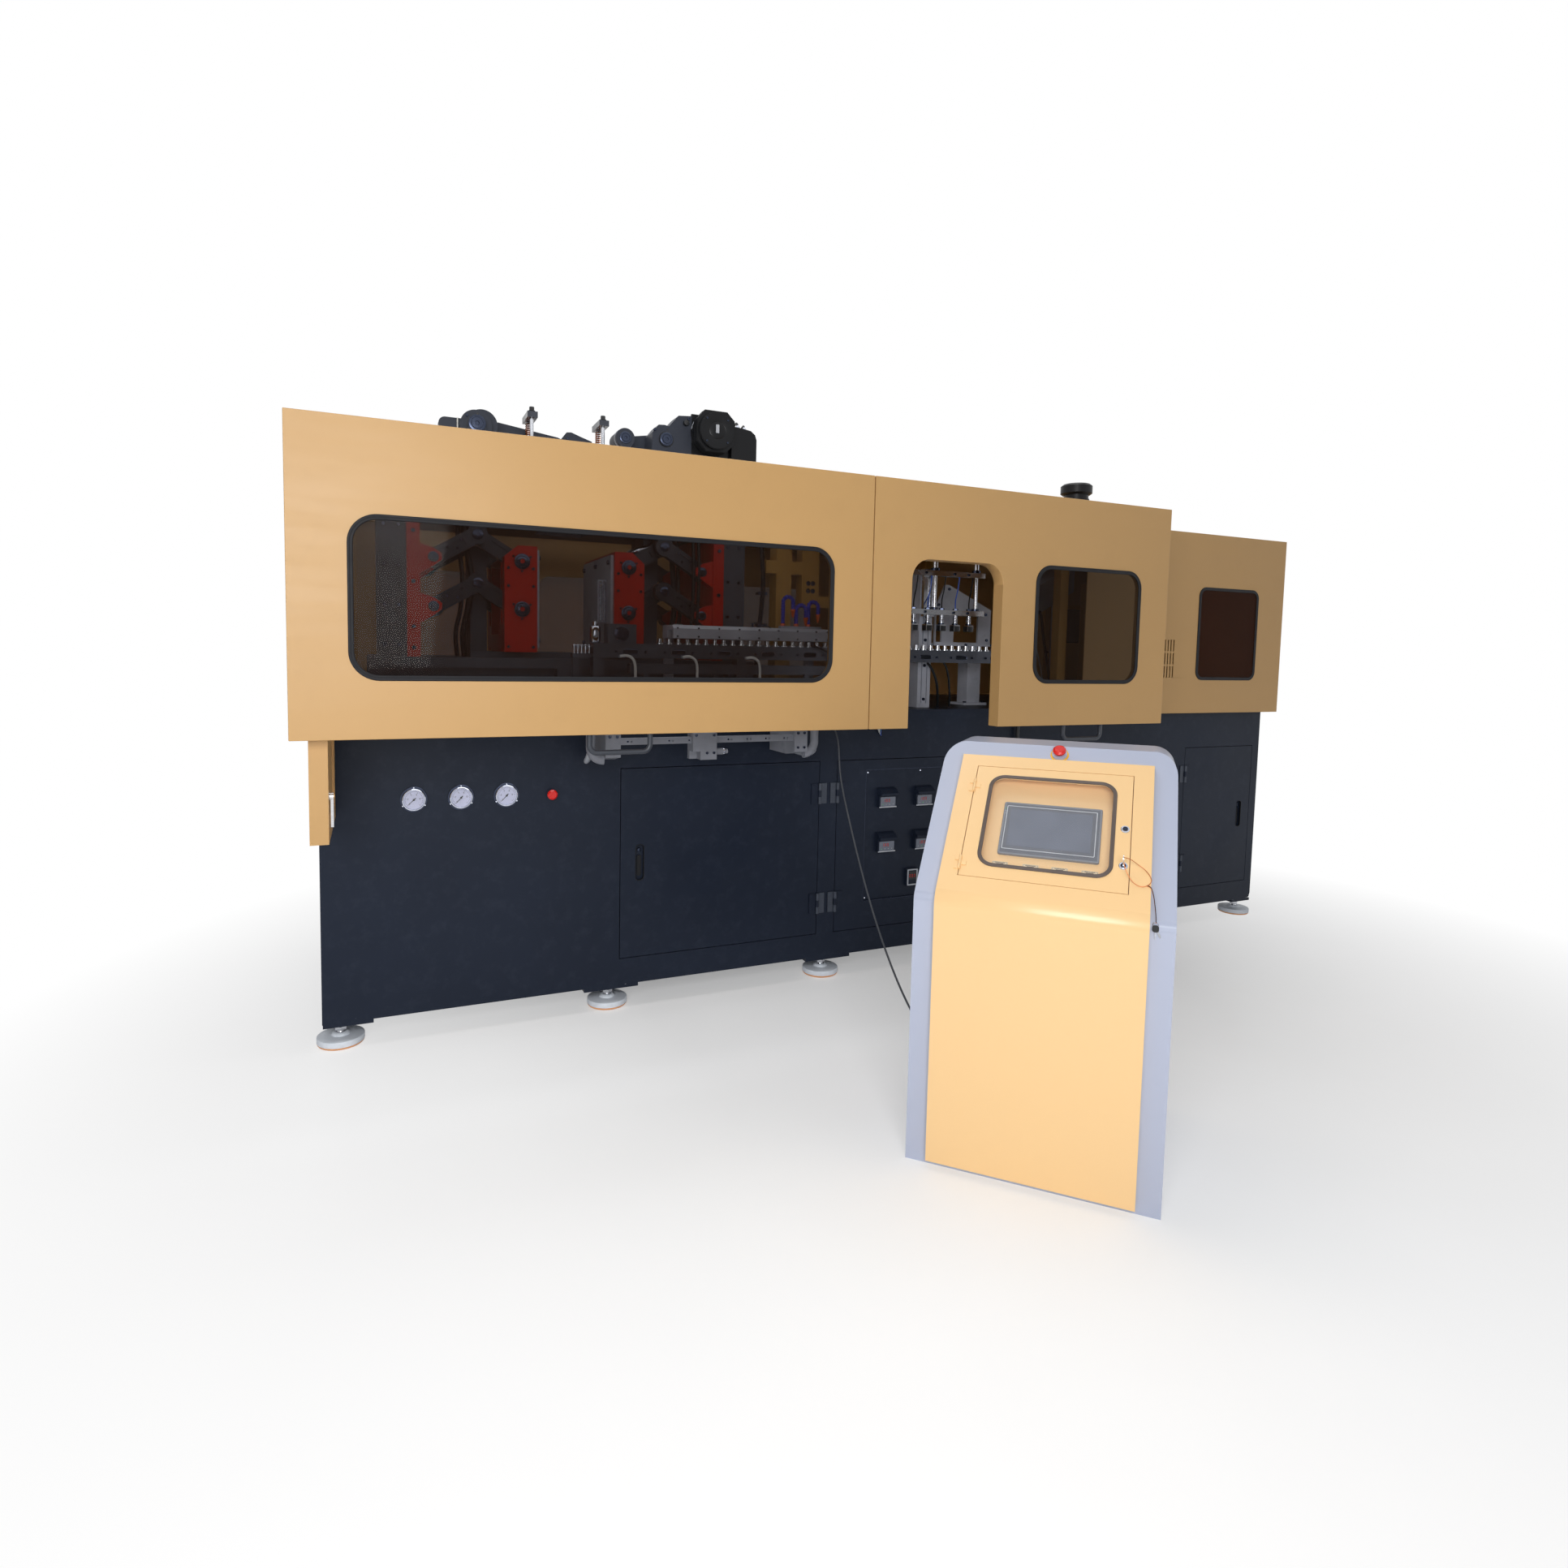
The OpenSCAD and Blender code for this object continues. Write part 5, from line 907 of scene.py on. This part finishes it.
# Preform line behind the left window and the notch
def make_line():
    line = Piece("line_fittings", slot="machined_dark")
    for x in range(1290, 3091, 40):
        line.spin([(12.5, 0), (14.6, 1.4), (14.6, 5), (12.6, 6.4), (9.4, 6.6)], (x, 642, 1472.2), sides=14, along=UP)
        line.plate(oblong(x + 13, 636, x + 27, 648), 1473, 1477, oiled, "z")
    for x in range(1130, 2931, 200):
        line.rim(rounded(x, 1430, 60, 18, 8, 4), [(0, 0), (1.6, 0.8), (0, 1.6), (-1.0, 0.8)], upright(604), dark_chrome)
        line.screws(5, [(x - 30, 604, 1439), (x + 90, 604, 1439)])
    line.plate(rounded(1064, 592, 118, 74, 10, 5), 1472, 1548, dark_cast, "z")
    line.spin([(30, -1), (30, 5), (26, 7), (14, 7.6), (12, 4), (0, 4)], (1118, 592, 1510), sides=32)
    line.spin([(17, 0), (22, 10), (22, 60), (18, 66), (11, 68), (11, 84), (0, 84)], (1022, 630, 1472), chrome, 28, UP)
    for x in range(942, 1033, 15):
        line.spin([(5.2, 0), (5.2, 24), (7, 25), (7, 33), (5.4, 35), (0, 35)], (x, 640, 1430), chrome, 14, UP)
    line.plate(rounded(930, 622, 116, 36, 5, 4), 1414, 1430, oiled, "z")
    line.plate(oblong(936, 640, 960, 650), DECK, 1414, oiled, "z")
    for x in (1160, 1420, 1700):
        line.hose([(x - 44, 596, 1421), (x - 20, 588, 1424), (x + 2, 582, 1412), (x + 12, 580, 1384),
                   (x + 14, 584, 1330), (x + 14, 596, 1260), (x + 14, 604, 1203)], 5.5, white_plastic)
        line.nut((x - 44, 604, 1421), 9, 8, chrome, FRONT)
    for x0, x1 in ((1190, 1560), (1640, 1980), (2040, 2280)):
        w = x1 - x0
        line.spin([(0, 0), (10, 0.4), (11, 2), (11, w - 2), (10, w - 0.4), (0, w)], (x0, 600, 1300), bright, 20, RIGHT)
        for x in (x0 + 24, x1 - 44):
            line.plate(rounded(x, 1288, 20, 66, 4, 3), 606, 614, oiled)
    oven_x = (1350, 1440, 1530, 1620, 1710, 1800, 1890, 1980, 2036)
    line.screws(3.6, [(x, 589.8, z) for x in oven_x for z in (1506, 1540)])
    line.plate([(1340, 604), (1376, 604), (1370, 640), (1346, 640)], 1552, 1556, bright, "z")
    line.spin([(8, 0), (8, 5), (5, 7), (5, 15), (9, 16), (9, 19), (0, 20)], (1700, 640, 1552), sides=20, along=UP)
    line.hose([(1700, 640, 1566), (1716, 632, 1572), (1742, 622, 1566), (1760, 610, 1556), (1768, 600, 1552.5)], 2.6,
              sides=8)
    line.hose([(1960, 596, 1478), (1990, 584, 1472), (2030, 578, 1452), (2060, 582, 1420), (2066, 590, 1380),
               (2062, 600, 1340)], 4, sides=10)
    line.make()
    portal = Piece("portal_fittings", slot="frame_paint")
    for x in (2036, 2060):
        for z in (1730, 1764):
            portal.spin([(11, -0.2), (11, 1.6), (9.4, 2.6), (7.2, 2.6), (6.8, 0.6), (6.8, -8)], (x, 790, z), sides=20)
    portal.make()
    hose = Piece("coolant_lines", slot="hose_blue")
    hose.plate(rounded(1850, 676, 200, 28, 4, 4), 1552, 1564, primed, "z")
    for x, h in ((1866, 104), (1930, 70), (1990, 86)):
        z = 1564
        loop = [(x, 690, z), (x, 690, z + h * 0.5), (x, 690, z + h)]
        loop += [(x + 24 - 24 * math.cos(t), 690, z + h + 24 * math.sin(t)) for t in np.linspace(0.4, math.pi - 0.4, 6)]
        loop += [(x + 48, 690, z + h), (x + 48, 690, z + h - 30)]
        hose.add(ribbed(loop, 10, 12, 0.3), hose_blue)
        hose.spin([(9.8, 0), (10.8, 2), (10.8, 8), (9.4, 10), (5, 32), (4, 36), (0, 36)], (x + 48, 690, z + h - 30),
                  nozzle_orange, 20, (0, 0, -1))
        hose.spin([(10.8, 0), (10.8, 9), (9.4, 11), (0, 11)], (x, 690, z), nozzle_orange, 6, UP)
    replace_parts(hose.make(), "coolant_hoses")


def make_pick():
    head = Piece("pick_fittings", "pick_head", "bright_steel")
    for k in range(6):
        x = 2432 + 78 * k
        head.plate(rounded(x - 17.6, 606.4 + 18, 35.2, 35.2, 4, 4), 1563.4, 1588, black_plastic, "z")
        head.spin([(12, 0), (15, 1), (15, 5), (9, 7), (8, 7)], (x, 642, 1594), sides=20, along=UP)
        wire = [(x + 11 * math.cos(t), 642 + 11 * math.sin(t), 1601 + 34 * t / (12 * math.pi))
                for t in np.linspace(0, 12 * math.pi, 97)]
        head.add(tube(wire, 1.5, 6), chrome)
        head.nut((x, 642, 1662), 13, 9)
        head.hose([(x, 642, 1668), (x + 3, 648, 1690), (x + 14, 660, 1720), (x + 26, 664, 1760), (x + 30, 662, 1800),
                   (x + 30, 660, 1818)], 3, (wire_blue, hose_black)[k % 2], 8, 5)
    head.screws(6, [(x, 622, z) for x in (2480, 2560, 2720, 2800) for z in (1650, 1830)])
    for x in (2624, 2858):
        head.spin([(9.2, 0), (20, 0), (21, 1), (21, 12), (18, 14), (9.2, 14)], (x, 642, 1842), along=UP)
        head.spin([(9.2, 0), (17, 0), (18, 1), (18, 9), (16, 11), (9.2, 11)], (x, 642, 1662), along=UP)
    head.make()
    side = Piece("column_fittings", slot="casting_grey")
    side.screws(7, [(2608, 686, 1240), (2608, 686, 1400), (2608, 686, 1520), (2950, 830, 1504), (3110, 830, 1504),
                    (2800, 860, 1700), (2860, 860, 1780), (3090, 860, 1660), (3100, 860, 1530)])
    for x in (2958, 3072):
        side.nut((x, 832, 1212), 9, 7)
    side.hose([(2420, 700, DECK), (2424, 690, 1260), (2440, 672, 1330), (2462, 660, 1390), (2470, 664, 1412)], 8)
    side.hose([(2700, 700, DECK), (2690, 686, 1250), (2664, 660, 1320), (2630, 650, 1380), (2604, 652, 1413)], 6)
    side.hose([(2760, 690, DECK), (2752, 676, 1256), (2726, 652, 1340), (2702, 640, 1392), (2690, 644, 1414)], 5)
    side.make()
    loose = Piece("loose_leads", slot="cable_grey")
    for dx, dz, finish in ((0, 0, wire_white), (6, 10, wire_blue), (13, -8, wire_white), (20, 4, wire_green),
                           (26, -14, wire_blue)):
        loose.hose([(2262 + dx, 569, 1201.5), (2264 + dx, 560, 1198 + dz / 4), (2268 + dx, 552, 1180),
                    (2272 + dx * 0.8, 549, 1150 + dz), (2280 + dx * 0.7, 551, 1122 + dz),
                    (2290 + dx * 0.4, 556, 1104 + dz), (2296 + dx * 0.5, 566, 1098 + dz)], 1.8, finish, 6, 5)
    loose.make(60)


# Preform hopper and feed cabinet behind the right window
def make_feed():
    """Plates and posts that stand on the deck, each an outline given a thickness, with softened edges."""
    feed = Piece("preform_feed", slot="casting_grey")
    feed.plate([(3400, 1601), (3800, 1817), (3800, 1945), (3750, 1945), (3400, 1756)], 1000, 1160, primed)
    for x, top in ((3430, 1618), (3730, 1780)):
        feed.plate(rounded(x, 1060, 40, 40, 4, 3), DECK, top, primed, "z")
        feed.plate(rounded(x - 20, 1040, 80, 80, 6, 3), DECK, DECK + 8, primed, "z")
    feed.plate(rounded(3824, DECK, 316, 556, 8, 4), 1250, 1600, ochre)
    # A black plate fills the cabinet's window inside its gasket: painted shade for the dark inside seen through it.
    feed.plate(rounded(3900, 1541, 222, 190, 12, 5), 1247, 1250.5, print_black)
    feed.rim(rounded(3900, 1541, 222, 190, 12, 5), [(4, 0), (4, 3), (0, 5), (-5, 3), (-5, 0)], upright(1250), gasket)
    feed.plate(rounded(3976, 1090, 46, 46, 5, 4), DECK, 1880, ochre, "z")
    feed.screws(6, [(3850, 1250, 1260), (3850, 1250, 1480)])
    feed.hose([(3560, 1000, 1700), (3552, 970, 1660), (3556, 955, 1560), (3590, 960, 1440), (3640, 980, 1300),
               (3660, 1000, DECK)], 7)
    feed.hose([(3520, 1000, 1680), (3500, 965, 1620), (3500, 950, 1520), (3540, 950, 1400), (3580, 970, 1290),
               (3590, 990, DECK)], 4, wire_white, 10)
    feed.make(35, 1.5)


# Rail under the left guard and the base doors
def make_rail():
    rail = Piece("rail_fittings", slot="casting_grey")
    rail.screws(3.6, [(x, 346, 1108) for x in range(1080, 1721, 80)])
    rail.screws(5, [(x + dx, 326, z) for x in (994, 1760) for dx, z in ((14, 1070), (42, 1070), (14, 1128),
                                                                        (42, 1128))])
    rail.add(ribbed([(946, 360, 1086), (940, 372, 1052), (944, 420, 1030), (966, 480, 1032), (990, 540, 1040),
                     (1000, 566, 1042)], 10, 8), strap_grey)
    rail.add(ribbed([(1864, 360, 1086), (1870, 372, 1052), (1866, 420, 1030), (1850, 480, 1032), (1836, 540, 1040),
                     (1830, 566, 1042)], 10, 8), strap_grey)
    rail.make()
    car = Piece("carriage_fittings", "rail_carriage", "casting_grey")
    car.screws(5, [(x, 318, z) for x, z in ((1340, 1128), (1412, 1128), (1384, 1060), (1412, 1060))])
    car.spin([(13.4, -0.2), (13.4, 5), (11.6, 7), (9.2, 7)], (1458, 346, 1062), chrome, 24, RIGHT)
    car.make()


def make_doors():
    door = Piece("controllers", "base_door_2", "base_paint")
    for i in range(3):
        for z in (552, 756):
            x = 2304 + 198 * i
            door.plate(rounded(x + 6, z + 6, 78, 42, 3, 4), 555.2, 556.2, screen_glass)
            door.plate(oblong(x, z, x + 90, z + 5), 553.6, 556.4, film_pale)
            door.number("180", x + 22, z + 26, 6, 13, 554.8, 555.3, lamp_red)
            for n in range(4):
                door.spin([(2.2, -0.1), (2.2, 0.5), (1.6, 0.9), (0, 1.0)], (x + 18 + 18 * n, 555.2, z + 14),
                          lamp_green if n == i else strap_grey, 10)
    door.rim(rounded(2468, 383, 56, 76, 3, 3), [(0, 0), (0, 1.6), (-1, 2.4), (-5, 2.4), (-6, 1.6), (-6, 0)],
             upright(560), film_pale)
    door.plate(rounded(2475, 410, 42, 38, 2, 3), 559.2, 560.2, print_black)
    door.number("220", 2479, 422, 6, 13, 558.8, 559.4, lamp_red)
    door.rim(rounded(2237, 330, 585, 600, 2, 2), [(0, -9), (0, 0.4), (-1.6, 0.4), (-1.6, -9)], upright(BASE_FRONT),
             dark_chrome)
    door.screws(4, [(x, 578, z) for x in (2250, 2530, 2809) for z in (343, 917)], finish=chrome)
    door.make()
    for name, x in (("base_door_1", 1178), ("base_door_2", 2881), ("base_door_3", 4650)):
        pull = Piece("latch_" + name, name, "base_paint")
        pull.rim(rounded(x, 520, 34, 146, 15), [(1.6, 0), (1.2, 1.0), (0, 1.2), (-0.8, 0.6), (-0.8, -8)],
                 upright(BASE_FRONT), hose_black)
        pull.plate(rounded(x + 8, 536, 18, 84, 7, 5), 580, 585.2, hose_black)
        pull.spin([(8.2, 0), (8.2, 6), (7, 7.4), (2, 7.6), (1.6, 6.4), (0, 6.4)], (x + 17, 585, 642))
        pull.make()


# Floor and light
FLOOR_HALF = 60.0


def make_floor():
    """A flat square far wider than the machine; its paint fades to plain white away from the object."""
    f = Finish("pale_floor")
    radius = f.node("VectorMath", operation="LENGTH")
    f.put(radius.inputs[0], f.coord)
    far = f.band(radius.outputs["Value"], 1.2, 3.7, 0.3, 1.0)
    paint = f.node("BsdfPrincipled", Roughness=0.9)
    paint.inputs["Specular IOR Level"].default_value = 0.1
    f.put(paint.inputs["Base Color"], f.blend(f.drift(2.0, 3.0), srgb(252, 252, 252), srgb(255, 255, 255)))
    f.mixed(f.math("MULTIPLY", far, f.seen()), paint, f.node("Emission", Strength=1.0))
    mesh = bpy.data.meshes.new("floor")
    s = FLOOR_HALF
    mesh.from_pydata([(-s, -s, 0), (s, -s, 0), (s, s, 0), (-s, s, 0)], [], [(0, 1, 2, 3)])
    mesh.materials.append(f.mat)
    floor = bpy.data.objects.new("floor", mesh)
    bpy.context.scene.collection.objects.link(floor)


def area_light(name, at, toward, width, height, power):
    data = bpy.data.lights.new(name, "AREA")
    data.shape, data.size, data.size_y, data.energy = "RECTANGLE", width, height, power
    lamp = bpy.data.objects.new(name, data)
    bpy.context.scene.collection.objects.link(lamp)
    lamp.location = at
    lamp.rotation_mode = "QUATERNION"
    lamp.rotation_quaternion = (Vector(toward) - Vector(at)).to_track_quat("-Z", "Y")
    lamp.visible_camera = False


def make_light():
    world = bpy.data.worlds.new("studio")
    bpy.context.scene.world = world
    w = Nodes(world, "OutputWorld")
    soft = w.node("Background", Color=(0.95, 0.97, 1.0, 1.0), Strength=0.22)
    white = w.node("Background", Color=(1.0, 1.0, 1.0, 1.0), Strength=1.0)
    w.mixed(w.seen(), soft, white)
    area_light("key", (-2.7, -3.9, 2.1), (-0.9, -0.3, 1.0), 2.2, 1.7, 112.0)
    area_light("fill", (4.6, -4.8, 4.0), (0.8, 0.0, 1.0), 3.5, 2.5, 5.0)
    area_light("overhead", (-0.4, 0.6, 5.4), (-0.4, 0.5, 1.0), 5.0, 2.5, 100.0)
    area_light("inside", (-1.35, -0.1, 2.02), (-1.35, 0.55, 1.55), 1.9, 0.16, 2.6)


bpy.context.scene.view_settings.view_transform = "Standard"
make_camera()
lay_cord("console_lead", "console_cable", CONSOLE_ROUTE, 9.0, sheath, "cable_black")
lay_cord("thin_lead", "thin_cable", THIN_ROUTE, 4.0, sheath_grey, "cable_grey")
make_floor()
make_light()
finish_nodes()
make_windows()
make_gauges()
make_feet()
make_console()
make_roof()
make_clamp()
make_line()
make_pick()
make_feed()
make_rail()
make_doors()
